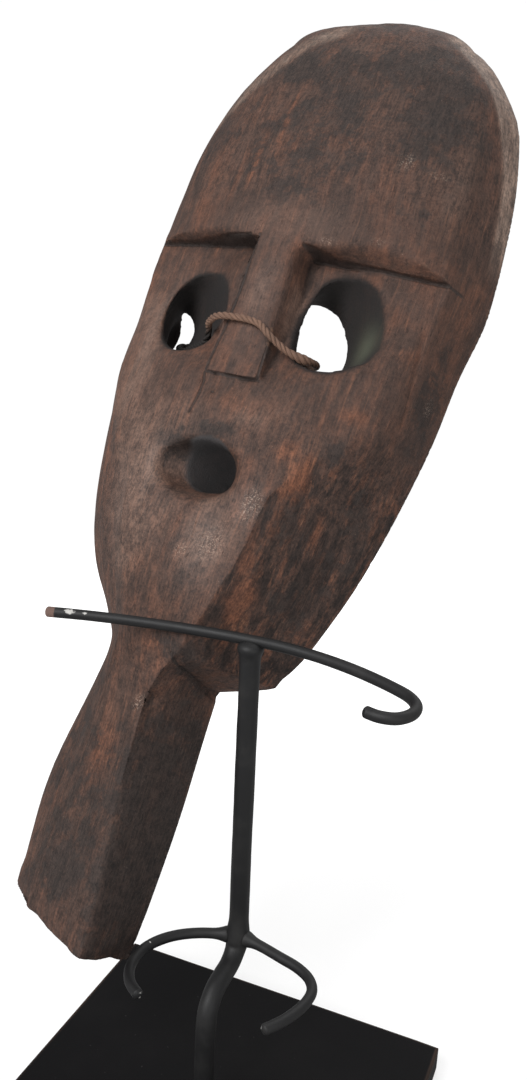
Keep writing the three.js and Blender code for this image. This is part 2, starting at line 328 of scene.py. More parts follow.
def places(line: np.ndarray, run: np.ndarray, at: np.ndarray) -> np.ndarray:
    """Places on a line at chosen lengths.

    Args:
        line: n by 3 places.
        run: length run to each of them.
        at: the chosen lengths.

    Returns:
        m by 3 places.
    """
    return np.column_stack([np.interp(at, run, line[:, axis]) for axis in range(3)])


def tube(rows: int, ring: int) -> list[tuple[int, ...]]:
    """Faces of a tube made of rings of points, with both ends closed.

    Args:
        rows: number of rings.
        ring: points in each ring.

    Returns:
        The faces.
    """
    faces: list[tuple[int, ...]] = []
    for r in range(rows - 1):
        for k in range(ring):
            a, b = r * ring + k, r * ring + (k + 1) % ring
            faces.append((a, b, b + ring, a + ring))
    last = (rows - 1) * ring
    return faces + [tuple(reversed(range(ring))), tuple(range(last, last + ring))]


def route(points: Sequence[Sequence[float]], step: float) -> np.ndarray:
    """Smooth line through points, in even steps.

    Args:
        points: the points it passes through.
        step: length of one step.

    Returns:
        n by 3 places along the line.
    """
    p = np.array(points, float)
    p = np.vstack([2 * p[0] - p[1], p, 2 * p[-1] - p[-2]])
    fine = []
    for k in range(1, len(p) - 2):
        gaps = [max(np.linalg.norm(p[k + j] - p[k + j - 1]) ** 0.5, 1e-4) for j in range(3)]
        a, b, c = gaps
        lead = ((p[k] - p[k - 1]) / a - (p[k + 1] - p[k - 1]) / (a + b) + (p[k + 1] - p[k]) / b) * b
        tail = ((p[k + 1] - p[k]) / b - (p[k + 2] - p[k]) / (b + c) + (p[k + 2] - p[k + 1]) / c) * b
        s = np.linspace(0, 1, FINE_STEPS, endpoint=False)[:, None]
        fine.append(
            p[k] * (2 * s**3 - 3 * s**2 + 1) + lead * (s**3 - 2 * s**2 + s)
            + p[k + 1] * (3 * s**2 - 2 * s**3) + tail * (s**3 - s**2)
        )
    line = np.vstack([*fine, p[-2:-1]])
    run = lengths(line)
    return places(line, run, np.linspace(0, run[-1], max(2, round(run[-1] / step) + 1)))


def frames(line: np.ndarray) -> tuple[np.ndarray, np.ndarray]:
    """Two side directions along a line that turn with it and don't twist.

    Args:
        line: n by 3 places.

    Returns:
        Two arrays of n unit directions.
    """
    ahead = np.gradient(line, axis=0)
    ahead /= np.linalg.norm(ahead, axis=1)[:, None]
    side = np.cross(ahead[0], [0.0, 0.0, 1.0])
    if np.linalg.norm(side) < 1e-3:
        side = np.cross(ahead[0], [0.0, 1.0, 0.0])
    sides = []
    for direction in ahead:
        side = side - direction * (side @ direction)
        side = side / np.linalg.norm(side)
        sides.append(side)
    sides = np.array(sides)
    return sides, np.cross(ahead, sides)


@dataclass
class Skin:
    """Points and faces of one mesh."""

    points: np.ndarray
    faces: list[tuple[int, ...]]

    def joined(self, other: "Skin") -> "Skin":
        """This skin and another in one."""
        shift = len(self.points)
        moved = [tuple(k + shift for k in face) for face in other.faces]
        return Skin(np.vstack([self.points, other.points]), self.faces + moved)

    def piece(self, name: str, smooth: bool = True) -> bpy.types.Object:
        """Make a scene object.

        Args:
            name: the piece's name.
            smooth: whether its faces shade smoothly.

        Returns:
            The linked object.
        """
        mesh = bpy.data.meshes.new(name)
        mesh.from_pydata([tuple(p) for p in self.points], [], self.faces)
        mesh.polygons.foreach_set("use_smooth", [smooth] * len(mesh.polygons))
        mesh.update()
        made = bpy.data.objects.new(name, mesh)
        bpy.context.scene.collection.objects.link(made)
        return made


def sweep(line: np.ndarray, radii: np.ndarray, sides: int) -> Skin:
    """Round bar along a line with closed ends.

    Args:
        line: n by 3 places.
        radii: n radii.
        sides: faces round the bar.

    Returns:
        The closed skin.
    """
    across, up = frames(line)
    turn = np.linspace(0, 2 * math.pi, sides, endpoint=False)
    rings = (
        line[:, None, :]
        + across[:, None, :] * (np.cos(turn)[None, :, None] * radii[:, None, None])
        + up[:, None, :] * (np.sin(turn)[None, :, None] * radii[:, None, None])
    )
    return Skin(rings.reshape(-1, 3), tube(len(line), sides))


def domed(line: np.ndarray, radii: np.ndarray, crowns: tuple[float, float]) -> tuple[np.ndarray, np.ndarray]:
    """Round both ends of a bar's line without making it longer.

    Args:
        line: n by 3 places.
        radii: n radii.
        crowns: length of the rounding at each end as a share of the radius.

    Returns:
        The line and radii with rounded ends.
    """
    run = lengths(line)
    bow = 1 - np.cos(np.linspace(0.12, 1, 7) * math.pi / 2)
    reach = radii[0] * crowns[0], radii[-1] * crowns[1]
    head = bow * reach[0]
    tail = run[-1] - bow[::-1] * reach[1]
    inner = run[(run > head[-1] + 1e-6) & (run < tail[0] - 1e-6)]
    every = np.concatenate([head, inner, tail])
    width = np.interp(every, run, radii)
    from_end = np.clip(np.minimum(every / reach[0], (run[-1] - every) / reach[1]), 0, 1)
    return places(line, run, every), width * np.sqrt(np.clip(1 - (1 - from_end) ** 2, 0.02, 1))


def paint(piece: bpy.types.Object, name: str, values: np.ndarray) -> None:
    """Store one value per point on a piece's mesh.

    Args:
        piece: the piece.
        name: the value's name.
        values: one number per point.
    """
    layer = piece.data.attributes.new(name, "FLOAT", "POINT")
    layer.data.foreach_set("value", values.astype(np.float32))


def seat(piece: bpy.types.Object, node: str, slot: Slot, finish: bpy.types.Material) -> bpy.types.Object:
    """Dress a piece and set it in the place of its CAD node.

    Args:
        piece: the detailed piece.
        node: the node that it stands for.
        slot: the material slot it stands for; not used.
        finish: its material.

    Returns:
        The piece.
    """
    piece.data.materials.append(finish)
    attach(piece, BODY)
    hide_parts(node)
    log.info("%s: %d faces", piece.name, len(piece.data.polygons))
    return piece


@dataclass(frozen=True)
class MaskFrame:
    """Where the mask stands. Its own axes run right, along its length and out of the face."""

    origin: Place = (-32.9, 137.9, 307.9)
    facing: float = -3.0
    lean_back: float = 30.0
    side_lean: float = 3.5

    def turn(self) -> np.ndarray:
        """Rotation from the mask's axes to the row's, as a 3 by 3 array."""
        turns = ((self.facing, "Z"), (90 - self.lean_back, "X"), (-self.side_lean, "Z"))
        face, back, side = (Matrix.Rotation(math.radians(degrees), 3, axis) for degrees, axis in turns)
        return np.array(face @ back @ side)

    def inward(self, points: np.ndarray) -> np.ndarray:
        """Row places in metres to mask places in millimetres."""
        return (points / MM - np.array(self.origin)) @ self.turn()

    def outward(self, points: np.ndarray) -> np.ndarray:
        """Mask places in millimetres to row places in metres."""
        return (points @ self.turn().T + np.array(self.origin)) * MM


@dataclass(frozen=True)
class Groove:
    """A fine dark line, for an incision and for painted shade beside a carved edge: corners seen from the
    front, width and the lowest height it shows at, in mm.
    """

    line: tuple[tuple[float, float], ...]
    width: float
    above: float


# In order: left of the nose, below it, its tip, its right, a pinhole, the brows' lower lines, the ledge. The
# line left of the nose is partly painted shade beside the nose's edge.
GROOVES_AND_EDGE_SHADE = (
    Groove(((-9.4, 28.5), (-9.2, 4), (-9.9, -13.5), (-12.4, -36)), 1.1, 38),
    Groove(((-13.1, -36.8), (-11.2, -41), (-11, -46), (-12.5, -55)), 1.0, 38),
    Groove(((-12.5, -36.4), (0, -37), (12.8, -36.4)), 0.9, 36),
    Groove(((12.6, -36), (12.2, -22)), 0.8, 38),
    Groove(((-4.9, -45.2), (-4.5, -45.2)), 1.0, 40),
    Groove(((12, 26), (26, 25), (76, 24.4)), 1.0, 10),
    Groove(((-70, 29), (-32, 29.2), (-14, 28.4)), 1.0, 10),
    Groove(((15, -152), (17, -157), (18.6, -160)), 1.0, 20),
)


@dataclass(frozen=True)
class AgedWood:
    """Dark, handled wood: fine lengthwise grain, soot with painted shade, warm patches, pale planes with
    painted sheen, painted glints and a low sheen.
    """

    seat: MaskFrame
    brown: Colour = (0.075, 0.042, 0.031, 1)
    umber: Colour = (0.040, 0.025, 0.020, 1)
    deep: Colour = (0.016, 0.012, 0.011, 1)
    sheen_grey: Colour = (0.132, 0.087, 0.069, 1)
    red: Colour = (0.132, 0.055, 0.031, 1)
    ember: Colour = (0.175, 0.078, 0.043, 1)
    ochre: Colour = (0.190, 0.112, 0.068, 1)
    lit: Colour = (1.52, 1.39, 1.31, 1)
    grain_shade: Colour = (0.46, 0.455, 0.465, 1)
    tan: Colour = (0.290, 0.225, 0.185, 1)
    bare_wood_and_glint: Colour = (0.430, 0.320, 0.250, 1)
    soot_and_shade: Colour = (0.023, 0.018, 0.0165, 1)
    hole: Colour = (0.015, 0.014, 0.014, 1)
    throat: Colour = (0.046, 0.044, 0.045, 1)
    green_light: Colour = (0.066, 0.072, 0.052, 1)
    throat_from: float = -58.0
    fibre_cells: Place = (1.5, 0.20, 1.5)
    pore_cells: Place = (1.5, 0.30, 1.5)
    thread_cells: Place = (0.75, 0.022, 0.75)
    streak_cells: Place = (0.30, 0.034, 0.26)
    splinter_cells: Place = (0.26, 0.024, 0.26)
    band_cells: Place = (0.085, 0.016, 0.07)

    def material(self) -> bpy.types.Material:
        """Build the wood's nodes.

        Returns:
            The finished material.
        """
        g = Graph("aged_wood")
        turn = self.seat.turn()
        origin = [v * MM for v in self.seat.origin]
        from_origin = g.node("ShaderNodeVectorMath", {"operation": "SUBTRACT"}, {0: g.place(), 1: origin})
        x, y, z = (
            g.node("ShaderNodeVectorMath", {"operation": "DOT_PRODUCT"},
                   {0: from_origin, 1: [float(v) / MM for v in turn[:, axis]]}, "Value")
            for axis in range(3)
        )
        even = g.vector(x, y, z)
        across = x + (g.noise(even, 0.020, 2.0) * 8 - 4)
        along = (across, y, z)
        fibre = g.drawn(along, self.fibre_cells, 3.0, 0.62)
        streak = g.drawn(along, self.streak_cells, 4.0, 0.62)
        splinter = g.drawn(along, self.splinter_cells, 5.0, 0.62)
        band = g.drawn(along, self.band_cells, 3.0, 0.55)
        thread = g.drawn(along, self.thread_cells, 2.0, 0.55)
        pore = g.drawn(along, self.pore_cells, 1.0, 0.55).span(0.34, 0.24)
        cloud = g.noise(even, 0.032, 4.0, 0.62)
        blotch = g.noise(even, 0.085, 5.0, 0.68)
        mottle = g.noise(even, 0.24, 4.0, 0.7)
        speck = g.noise(even, 0.90, 3.0, 0.65)
        flake = g.noise(even, 1.6, 2.0, 0.6)
        patchy = cloud.span(0.36, 0.64) * 0.5 + blotch.span(0.36, 0.64) * 0.5

        dark, warm, pale, raw = (g.mark(name) for name in ("dark", "warm", "pale", "raw"))
        wear_and_highlight, hollow_soot_and_shade, rim, inside = (g.mark(name) for name in ("wear_and_highlight", "hollow_soot_and_shade", "rim", "inside"))
        scrape_and_glint, polish, green = (g.mark(name) for name in ("scrape_and_glint", "polish", "green"))
        grooves_and_edge_shade = self.grooves_and_edge_shade(g, x + (blotch * 1.4 - 0.7), y + (cloud * 1.6 - 0.8), z)

        # Bare grain, then pale places with painted sheen, warm and split places.
        tone = (streak * 0.45 + band * 0.30 + blotch * 0.25).span(0.34, 0.66)
        colour = g.mix(tone, self.umber, self.brown)
        reddish = (streak * 0.45 + blotch * 0.40 + band * 0.25).span(0.50, 0.72) * 0.42
        colour = g.mix(reddish, colour, self.red)
        # Painted sheen: greyish pale where the pale mark is set.
        colour = g.mix((pale * (0.45 + patchy * 0.9)).span(0.12, 1.0) * 0.9, colour, self.sheen_grey)
        colour = g.mix((warm * (blotch * 0.8 + streak * 0.8)).span(0.22, 0.78) * 0.85, colour, self.red)
        colour = g.mix((warm * (fibre + blotch * 0.5)).span(0.62, 1.0) * 0.5, colour, self.ochre)
        stripes = g.mix(splinter.span(0.38, 0.54), self.deep, self.umber)
        stripes = g.mix((splinter * 0.55 + blotch * 0.45).span(0.48, 0.62) * 0.75, stripes, self.red)
        stripes = g.mix((splinter * 0.6 + fibre * 0.4).span(0.58, 0.74) * 0.5, stripes, self.ochre)
        colour = g.mix(raw * 0.85, colour, stripes)
        colour = g.mix(thread.span(0.58, 0.74) * (0.05 + patchy * 0.28 + warm * 0.3), colour, self.ember)
        colour = g.mix((warm * raw * (blotch + streak)).span(0.35, 0.90) * 0.6, colour, self.red)
        # Soot with painted shade, the pale rim, and edge wear with painted highlight.
        soot_and_shade_amount = dark * 1.2 + patchy * 1.3 + mottle.span(0.35, 0.65) * 0.5 - 0.9
        colour = g.mix(soot_and_shade_amount.span(0.2, 0.9) * dark.span(0.05, 0.3) * 0.88, colour, self.soot_and_shade)
        colour = g.mix(rim * (0.18 + streak.span(0.35, 0.65) * 0.42 + patchy * 0.35), colour, self.tan)
        # Edge wear and painted highlight: convex edges lighten toward ochre.
        colour = g.mix((wear_and_highlight * (0.2 + speck)).span(0.35, 1.0) * 0.36, colour, self.ochre)
        colour = g.mix(pore * 0.45, colour, self.deep)
        # Soot in hollows and painted shade: concave places darken toward the soot colour.
        colour = g.mix(hollow_soot_and_shade.span(0.12, 0.85) * 0.62, colour, self.soot_and_shade)
        # Dark incised lines, partly painted shade beside the nose's left edge.
        colour = g.mix(grooves_and_edge_shade * 0.85, colour, self.soot_and_shade)
        # Fine grain painted with tiny highlights and shade, calmer in the middle of the face.
        rougher = (y * y * 0.0005).span(0.5, 2.0) * 0.4 + 0.6
        grain = (thread * 0.12 + fibre * 0.28 + speck * 0.28 + mottle * 0.32).span(0.38, 0.62)
        grain = (grain - 0.5) * rougher + 0.5
        colour = g.mix(1.0, colour, g.mix(grain, self.grain_shade, self.lit), "MULTIPLY")
        # Scrapes with painted glints, and the walls of the holes.
        scrape_and_glint_share = (scrape_and_glint * (0.2 + blotch * 1.2)).span(0.25, 1.0) * (flake * 0.7 + speck * 0.3).span(0.50, 0.66)
        colour = g.mix(scrape_and_glint_share * 0.5, colour, self.bare_wood_and_glint)
        colour = g.mix(speck.span(0.70, 0.78) * 0.22, colour, self.bare_wood_and_glint)
        lining = g.mix(y.span(self.throat_from, self.throat_from - 4), self.hole, self.throat)
        # Painted light: greenish grey on the lower right wall of the right eye.
        lining = g.mix(green, lining, self.green_light)
        colour = g.mix(inside * 0.92, colour, lining)

        rough = 0.60 + blotch * 0.22 - polish * 0.24 + raw * 0.08 + hollow_soot_and_shade * 0.15 + inside * 0.30
        height = fibre * 0.5 + streak * 0.25 - pore * 0.5 + speck * 0.6 + splinter * raw * 1.2 - grooves_and_edge_shade * 2.0
        return g.close({
            "Base Color": colour,
            "Roughness": rough,
            "Specular IOR Level": 0.30,
            "Normal": g.bump(height, 0.55, 0.0007),
        })

    @staticmethod
    def grooves_and_edge_shade(g: Graph, x: Wire, y: Wire, z: Wire) -> Wire:
        """Share of each place that lies in a dark line: incised lines, and painted shade beside the nose's
        left edge.

        Args:
            g: the finish's tree.
            x: place to the right.
            y: place along the mask.
            z: height out of the face.

        Returns:
            The share, 1 in the middle of a line.
        """
        total = None
        for groove in GROOVES_AND_EDGE_SHADE:
            near = g.away(x, y, groove.line).span(groove.width, 0.2 * groove.width)
            near = near * z.span(groove.above - 3, groove.above)
            total = near if total is None else total.larger(near)
        return total


@dataclass(frozen=True)
class TwistedFibre:
    """Reddish-brown plant fibre laid up in strands."""

    dark: Colour = (0.048, 0.027, 0.019, 1)
    light: Colour = (0.178, 0.098, 0.064, 1)
    shadow: Colour = (0.006, 0.006, 0.006, 1)

    def material(self) -> bpy.types.Material:
        """Build the fibre's nodes.

        Returns:
            The finished material.
        """
        g = Graph("twisted_fibre")
        run, round_ = g.mark("run"), g.mark("round")
        hair = g.noise(g.vector(run * 0.12, round_ * 9.0, 0.0), 1.0, 3.0, 0.7)
        stain = g.noise(g.place(), 95.0, 3.0)
        # Painted shade: the strands darken where they turn in toward the cord's middle.
        deep = g.mark("crevice_shade")
        colour = g.mix((hair * 0.75 + stain * 0.5 - deep * 0.55).span(0.25, 0.85), self.dark, self.light)
        # Painted shade: near black where the cord lies inside the left eye.
        colour = g.mix(g.mark("soot_and_shade_amount"), colour, self.shadow)
        return g.close({
            "Base Color": colour,
            "Roughness": 0.82,
            "Normal": g.bump(hair, 0.7, 0.0003),
        })


@dataclass(frozen=True)
class BlackRodPaint:
    """Semi-matte black paint on iron rod, with rust, bare-steel chips and a painted highlight at the arms' cut
    ends.
    """

    paint: Colour = (0.0062, 0.0061, 0.0066, 1)
    dust: Colour = (0.022, 0.021, 0.020, 1)
    steel: Colour = (0.42, 0.41, 0.39, 1)
    rust: Colour = (0.125, 0.078, 0.064, 1)

    def material(self) -> bpy.types.Material:
        """Build the paint's nodes.

        Returns:
            The finished material.
        """
        g = Graph("black_rod_paint")
        place = g.place()
        grit = g.noise(place, 900.0, 2.0)
        cloud = g.noise(place, 60.0, 4.0, 0.6)
        flake = g.noise(place, 330.0, 3.0, 0.6)
        bright, rusty = g.mark("bright"), g.mark("rusty")
        # Bare steel at paint chips, and a painted highlight at glinting cut ends.
        chip = (bright * 0.66 + flake * 0.8).span(0.92, 1.02)
        brown = (rusty * 0.8 + flake * 0.5).span(0.55, 0.85)
        colour = g.mix(cloud.span(0.45, 0.75) * 0.55, self.paint, self.dust)
        colour = g.mix(brown, colour, self.rust)
        colour = g.mix(chip, colour, self.steel)
        rough = 0.46 + cloud * 0.22 + brown * 0.3
        height = cloud * 0.5 + grit * 0.25 - brown * 0.3 - chip * 0.4
        return g.close({
            "Base Color": colour,
            "Roughness": rough,
            "Specular IOR Level": 0.36,
            "Normal": g.bump(height, 0.35, 0.0004),
        })


@dataclass(frozen=True)
class BlackPlatePaint:
    """Matte black paint on a plate, brown along its edges."""

    paint: Colour = (0.0040, 0.0038, 0.0043, 1)
    dust: Colour = (0.0085, 0.0080, 0.0082, 1)
    brown_edge: Colour = (0.050, 0.033, 0.026, 1)
    lint: Colour = (0.075, 0.072, 0.070, 1)

    def material(self) -> bpy.types.Material:
        """Build the paint's nodes.

        Returns:
            The finished material.
        """
        g = Graph("black_plate_paint")
        place = g.place()
        cloud = g.noise(place, 22.0, 4.0, 0.6)
        grit = g.noise(place, 1400.0, 2.0)
        speck = g.noise(place, 420.0, 1.0).span(0.76, 0.80)
        edge = g.mark("edge")
        colour = g.mix(cloud.span(0.4, 0.75) * 0.5, self.paint, self.dust)
        colour = g.mix(speck * 0.30, colour, self.lint)
        colour = g.mix(edge * cloud.span(0.3, 0.6) * 0.7, colour, self.brown_edge)
        return g.close({
            "Base Color": colour,
            "Roughness": 0.56 + cloud * 0.18,
            "Specular IOR Level": 0.09,
            "Normal": g.bump(grit, 0.25, 0.0002),
        })


@dataclass(frozen=True)
class PalePaper:
    """Plain pale floor that fades into white away from the part."""

    paper: Colour = (0.36, 0.36, 0.36, 1)
    glow: Colour = (0.66, 0.66, 0.66, 1)
    white: Colour = (1.0, 1.0, 1.0, 1)
    fade_from: float = 0.16
    fade_to: float = 0.52

    def material(self) -> bpy.types.Material:
        """Build the floor's nodes.

        Returns:
            The finished material.
        """
        g = Graph("pale_paper")
        away = g.node("ShaderNodeVectorMath", {"operation": "LENGTH"}, {0: g.place()}, "Value")
        glow = g.mix(away.span(self.fade_from, self.fade_to), self.glow, self.white)
        return g.close({
            "Base Color": self.paper,
            "Roughness": 0.9,
            "Specular IOR Level": 0.1,
            "Emission Color": glow,
            "Emission Strength": 1.0,
        })


@dataclass(frozen=True)
class WhiteCloth:
    """Evenly lit white backdrop."""

    def material(self) -> bpy.types.Material:
        """Build the backdrop's nodes."""
        g = Graph("white_cloth")
        return g.close({"Base Color": (0, 0, 0, 1), "Emission Color": (1, 1, 1, 1), "Emission Strength": 1.0})


@dataclass(frozen=True)
class Spot:
    """A soft spot: middle and reach along the axes, in millimetres."""

    middle: Place
    reach: Place

    def share(self, q: np.ndarray) -> np.ndarray:
        """Share of the spot at each point, 1 in its middle."""
        return np.exp(-(((q - self.middle) / self.reach) ** 2).sum(1))


@dataclass(frozen=True)
class Scoop(Spot):
    """A shallow blade mark or chip."""

    depth: float


@dataclass(frozen=True)
class Patch(Spot):
    """A soft stain."""

    strength: float


@dataclass(frozen=True)
class Shift(Spot):
    """A soft pull on the carved form."""

    move: Place


@dataclass(frozen=True)
class Cut:
    """A thin groove along points of the mask, in millimetres."""

    points: tuple[Place, ...]
    width: float
    depth: float


@dataclass(frozen=True)
class Hole:
    """A slanting opening of the mask: middle, half sizes and squareness at the front and at the back."""

    front: Place
    back: Place
    front_half: tuple[float, float]
    back_half: tuple[float, float]
    square: tuple[float, float]


@dataclass(frozen=True)
class Zone:
    """A block of the mask, lowest and highest corner in millimetres."""

    low: Place
    high: Place

    def holds(self, place: np.ndarray) -> bool:
        """Whether a place lies in the block."""
        return bool(np.all(place > self.low) and np.all(place < self.high))


HOLES = (
    Hole((33.7, -2.8, 30), (9, -10, 10), (20, 23.4), (22, 24), (2.1, 1.8)),
    Hole((-34.6, -5.5, 30), (-57.5, -8, 10), (15, 20.2), (11, 13), (2.2, 1.9)),
    Hole((1.2, -75, 30), (7, -79.5, 8), (12, 10.5), (7, 7), (2.0, 2.0)),
)
# Places where edges are carved soft: the flank, forehead, brows, cheek, nose, mouth, left eye, jaw and handle.
SOFT_ZONES = (
    Zone((-120, -255, 2), (120, 170, 13)),
    Zone((-20, 34, 12), (100, 149, 60)),
    Zone((-100, 34, 12), (-20, 122, 60)),
    Zone((-100, 22, 34), (-13, 50, 60)),
    Zone((13, 20, 34), (100, 50, 60)),
    Zone((40, -60, 8), (80, 16, 34)),
    Zone((7, -16, 36), (16, 40, 60)),
    Zone((-27, -100, 22), (29, -57, 60)),
    Zone((-64, -34, 18), (-41, 12, 50)),
    Zone((-64, -36, 18), (-21, -14, 50)),
    Zone((30, -80, 26), (66, -48, 52)),
    Zone((-20, -295, 8), (22, -206, 50)),
)
# In order: left eye's outer wall, right and left of the nose, top, mouth, the chin's corner, the handle's end.
SHIFTS = (
    Shift((-66, -8, 9), (7, 14, 9), (9, 0, 0)),
    Shift((14.5, 0, 25), (4.5, 24, 12), (3.6, 0, 0)),
    Shift((-14, 14, 29), (13, 17, 9), (0, 0, 7)),
    Shift((-56, 124, 20), (11, 15, 16), (1.2, -0.8, 0)),
    Shift((-8, 158, 16), (18, 8, 16), (0, -2.0, 0)),
    Shift((-38, 152, 20), (8, 7, 16), (-3.3, 2.5, 0)),
    Shift((34, 149, 18), (11, 9, 16), (1.7, 0.7, 0)),
    Shift((13, -75, 31), (5, 9, 10), (-2.0, 0, 0)),
    Shift((3, -86, 31), (8, 4, 10), (0, 1.6, 0)),
    Shift((-19, -77, 42), (6, 10, 8), (-3.5, 0, 0)),
    Shift((50, -151, 10), (6, 5, 14), (-2.2, 1.6, 0)),
    Shift((-14, -268, 14), (36, 10, 30), (-0.6, -3.0, 0)),
    Shift((12, -270, 14), (13, 8, 26), (0, -1.8, 0)),
)
# In order: split jaw, ledge, handle, forehead, ledge, mouth, chipped low end.
SCOOPS = (
    Scoop((54.7, -82, 25), (9, 30, 9), 1.4),
    Scoop((53.5, -114, 16), (8, 20, 8), 1.3),
    Scoop((41, -108, 34), (6, 16, 7), 1.0),
    Scoop((66, -58, 18), (7, 34, 9), 0.9),
    Scoop((47, -68, 37), (5, 12, 6), 0.9),
    Scoop((60, -100, 14), (5, 22, 6), 0.8),
    Scoop((46, -132, 26), (6, 14, 7), 0.9),
    Scoop((33, -140, 31), (5, 12, 6), 0.8),
    Scoop((7.6, -171.5, 33), (4.5, 4.2, 5), 2.6),
    Scoop((10, -178, 30), (4, 6, 4), 1.1),
    Scoop((-26, -206, 18), (9, 26, 8), 0.9),
    Scoop((-8, -232, 26), (9, 18, 8), 0.7),
    Scoop((5, 100, 42), (26, 16, 14), 0.8),
    Scoop((-24, 72, 42), (12, 30, 10), 0.7),
    Scoop((30, 66, 42), (18, 24, 12), 0.6),
    Scoop((8, 67, 44), (5, 8, 6), 0.5),
    Scoop((14, -160, 34), (8, 5, 8), 1.2),
    Scoop((-13, -77, 41), (9, 11, 9), 3.2),
    Scoop((-28, -267, 14), (5, 4, 9), 1.8),
    Scoop((2, -271, 22), (6, 4, 8), 2.0),
    Scoop((16, -273, 12), (4, 4, 9), 1.6),
)
# In order: left of the nose, below it, under the ledge, right temple.
CUTS = (
    Cut(((-9.4, 27.5, 44), (-9.2, 4, 44), (-9.9, -13.5, 44), (-12.4, -36, 44)), 1.2, 0.6),
    Cut(((-13.1, -36.8, 43), (-11.2, -41, 43.5), (-11, -46, 44), (-12.5, -55, 44)), 1.2, 0.5),
    Cut(((17, -157, 33), (18.2, -158.8, 24), (18.9, -161, 9), (20.4, -162.4, 1.4)), 1.3, 1.6),
    Cut(((69.3, 3, 26), (70, -9, 24.6), (70.5, -22, 24), (70.9, -36, 22.2)), 1.4, 0.8),
)
# Soot stains, partly painted shade: the patches at the mouth's upper-left funnel and just above the mouth hole
# paint the shade under its overhang.
SOOT_AND_SHADE = (
    Patch((5, 96, 40), (80, 62, 44), 0.48),
    Patch((46, 95, 36), (22, 30, 20), 0.95),
    Patch((26, 118, 37), (28, 18, 18), 0.8),
    Patch((-22, 116, 39), (11, 12, 14), 1.1),
    Patch((51, 44, 37), (14, 9, 12), 0.7),
    Patch((-45, 88, 36), (12, 20, 16), 0.4),
    Patch((4, 67, 44), (7, 9, 10), 0.55),
    Patch((-22, 44, 43), (6, 6, 8), 0.5),
    Patch((44, -92, 33), (7, 16, 14), 0.75),
    Patch((60, -92, 18), (9, 30, 14), 0.6),
    Patch((51, -58, 35), (7, 7, 8), 0.45),
    Patch((48, -122, 20), (10, 22, 16), 0.5),
    Patch((22, -150, 36), (16, 12, 12), 0.75),
    Patch((18, -228, 14), (15, 52, 28), 1.4),
    Patch((-12, -246, 22), (30, 32, 16), 0.75),
    Patch((-30, -215, 14), (14, 40, 14), 0.5),
    Patch((74, -24, 12), (9, 50, 14), 0.35),
    Patch((20, -42, 43), (8, 5, 6), 0.4),
    Patch((-13, -67, 37), (12, 6.5, 8), 1.5),
    Patch((-16, -210, 22), (40, 60, 24), 0.42),
    Patch((0, -61, 45), (14, 4.5, 6), 0.5),
)
WARM = (
    Patch((43, -72, 40), (5, 12, 10), 1.0),
    Patch((34, -63, 42), (8, 7, 8), 0.7),
    Patch((54, -41, 35), (9, 6, 10), 0.75),
    Patch((66, -10, 29), (7, 8, 8), 0.6),
    Patch((33, -108, 42), (3.5, 24, 6), 0.8),
    Patch((34, -124, 36), (8, 14, 10), 0.95),
    Patch((-26, 68, 42), (2.6, 24, 8), 0.9),
    Patch((-18, 88, 41), (2.2, 20, 8), 0.9),
    Patch((-33, 58, 41), (2.6, 22, 8), 0.75),
    Patch((-12, 70, 43), (8, 16, 8), 0.6),
    Patch((8, 76, 43), (16, 10, 8), 0.6),
    Patch((-48, 50, 38), (8, 30, 12), 0.6),
    Patch((-62, -72, 20), (6, 34, 10), 0.8),
    Patch((-60, -30, 28), (9, 40, 14), 0.55),
    Patch((-70, 20, 20), (12, 60, 20), 0.5),
    Patch((10, -48, 44), (16, 8, 8), 0.65),
    Patch((-8, -198, 26), (10, 22, 10), 0.8),
    Patch((5, -151, 39), (8, 6, 8), 0.7),
    Patch((78, 0, 10), (10, 60, 14), 0.55),
    Patch((9, 26, 43), (4, 8, 6), 0.6),
)
# Painted sheen and light: greyish patches where the jaw, left cheek and flat planes catch the lamps, and a
# lighter right wall of the nose.
PAINTED_SHEEN = (
    Patch((0, 36, 44), (40, 16, 14), 0.55),
    Patch((0, 0, 45), (9, 26, 10), 0.75),
    Patch((-56, -30, 30), (22, 46, 26), 0.8),
    Patch((-30, -85, 40), (34, 40, 20), 0.9),
    Patch((16, -104, 45), (16, 26, 12), 0.7),
    Patch((-28, -106, 40), (18, 24, 16), 1.1),
    Patch((20, -50, 45), (22, 14, 12), 0.5),
    Patch((14.5, 2, 36), (4, 28, 8), 0.9),
    Patch((34, 118, 36), (10, 8, 10), 0.45),
    Patch((2, 128, 36), (16, 8, 12), 0.5),
    Patch((64, 66, 30), (9, 34, 14), 0.5),
    Patch((-10, -178, 30), (12, 20, 12), 0.4),
)
# Bare scrapes; the three on the jaw are painted glints.
SCRAPES_AND_GLINTS = (
    Patch((43, 71, 39), (5, 5, 8), 1.0),
    Patch((57, 68, 35), (6, 2.5, 6), 1.0),
    Patch((13, 131, 36), (8, 4, 8), 0.55),
    Patch((34, 121, 35), (7, 6, 8), 0.6),
    Patch((22, 29, 43), (6, 2.2, 5), 0.9),
    Patch((43, 33, 40), (6, 2.2, 5), 0.9),
    Patch((75, -24, 11.5), (3, 6, 4), 0.9),
    Patch((29, -88, 44), (5, 8, 6), 1.5),
    Patch((18, -106, 45), (7, 10, 6), 1.1),
    Patch((6, -112, 45), (5, 5, 6), 0.9),
    Patch((3.6, -174, 32), (3.5, 4, 5), 1.6),
)
POLISH = (
    Patch((28, -90, 44), (8, 12, 10), 1.0),
    Patch((14, -110, 45), (14, 16, 12), 0.9),
    Patch((-26, -96, 41), (24, 36, 18), 0.9),
    Patch((-56, -30, 30), (20, 46, 20), 0.7),
    Patch((0, 0, 45), (12, 34, 10), 0.4),
)
# Painted light: greenish grey on the lower right wall of the right eye.
GREEN = (Patch((45, -7, 22), (8, 9, 8), 1.0),)
RIM_TOP = ((48, 9.5), (58, 10), (75, 10.8), (93, 12.7), (105, 15.8), (116, 20), (127, 24.5), (136, 26))
CORNER_BEVEL = ((-12, 141, 31), (-25, 136, 33), (-40, 118, 34), (-63, 96, 26))


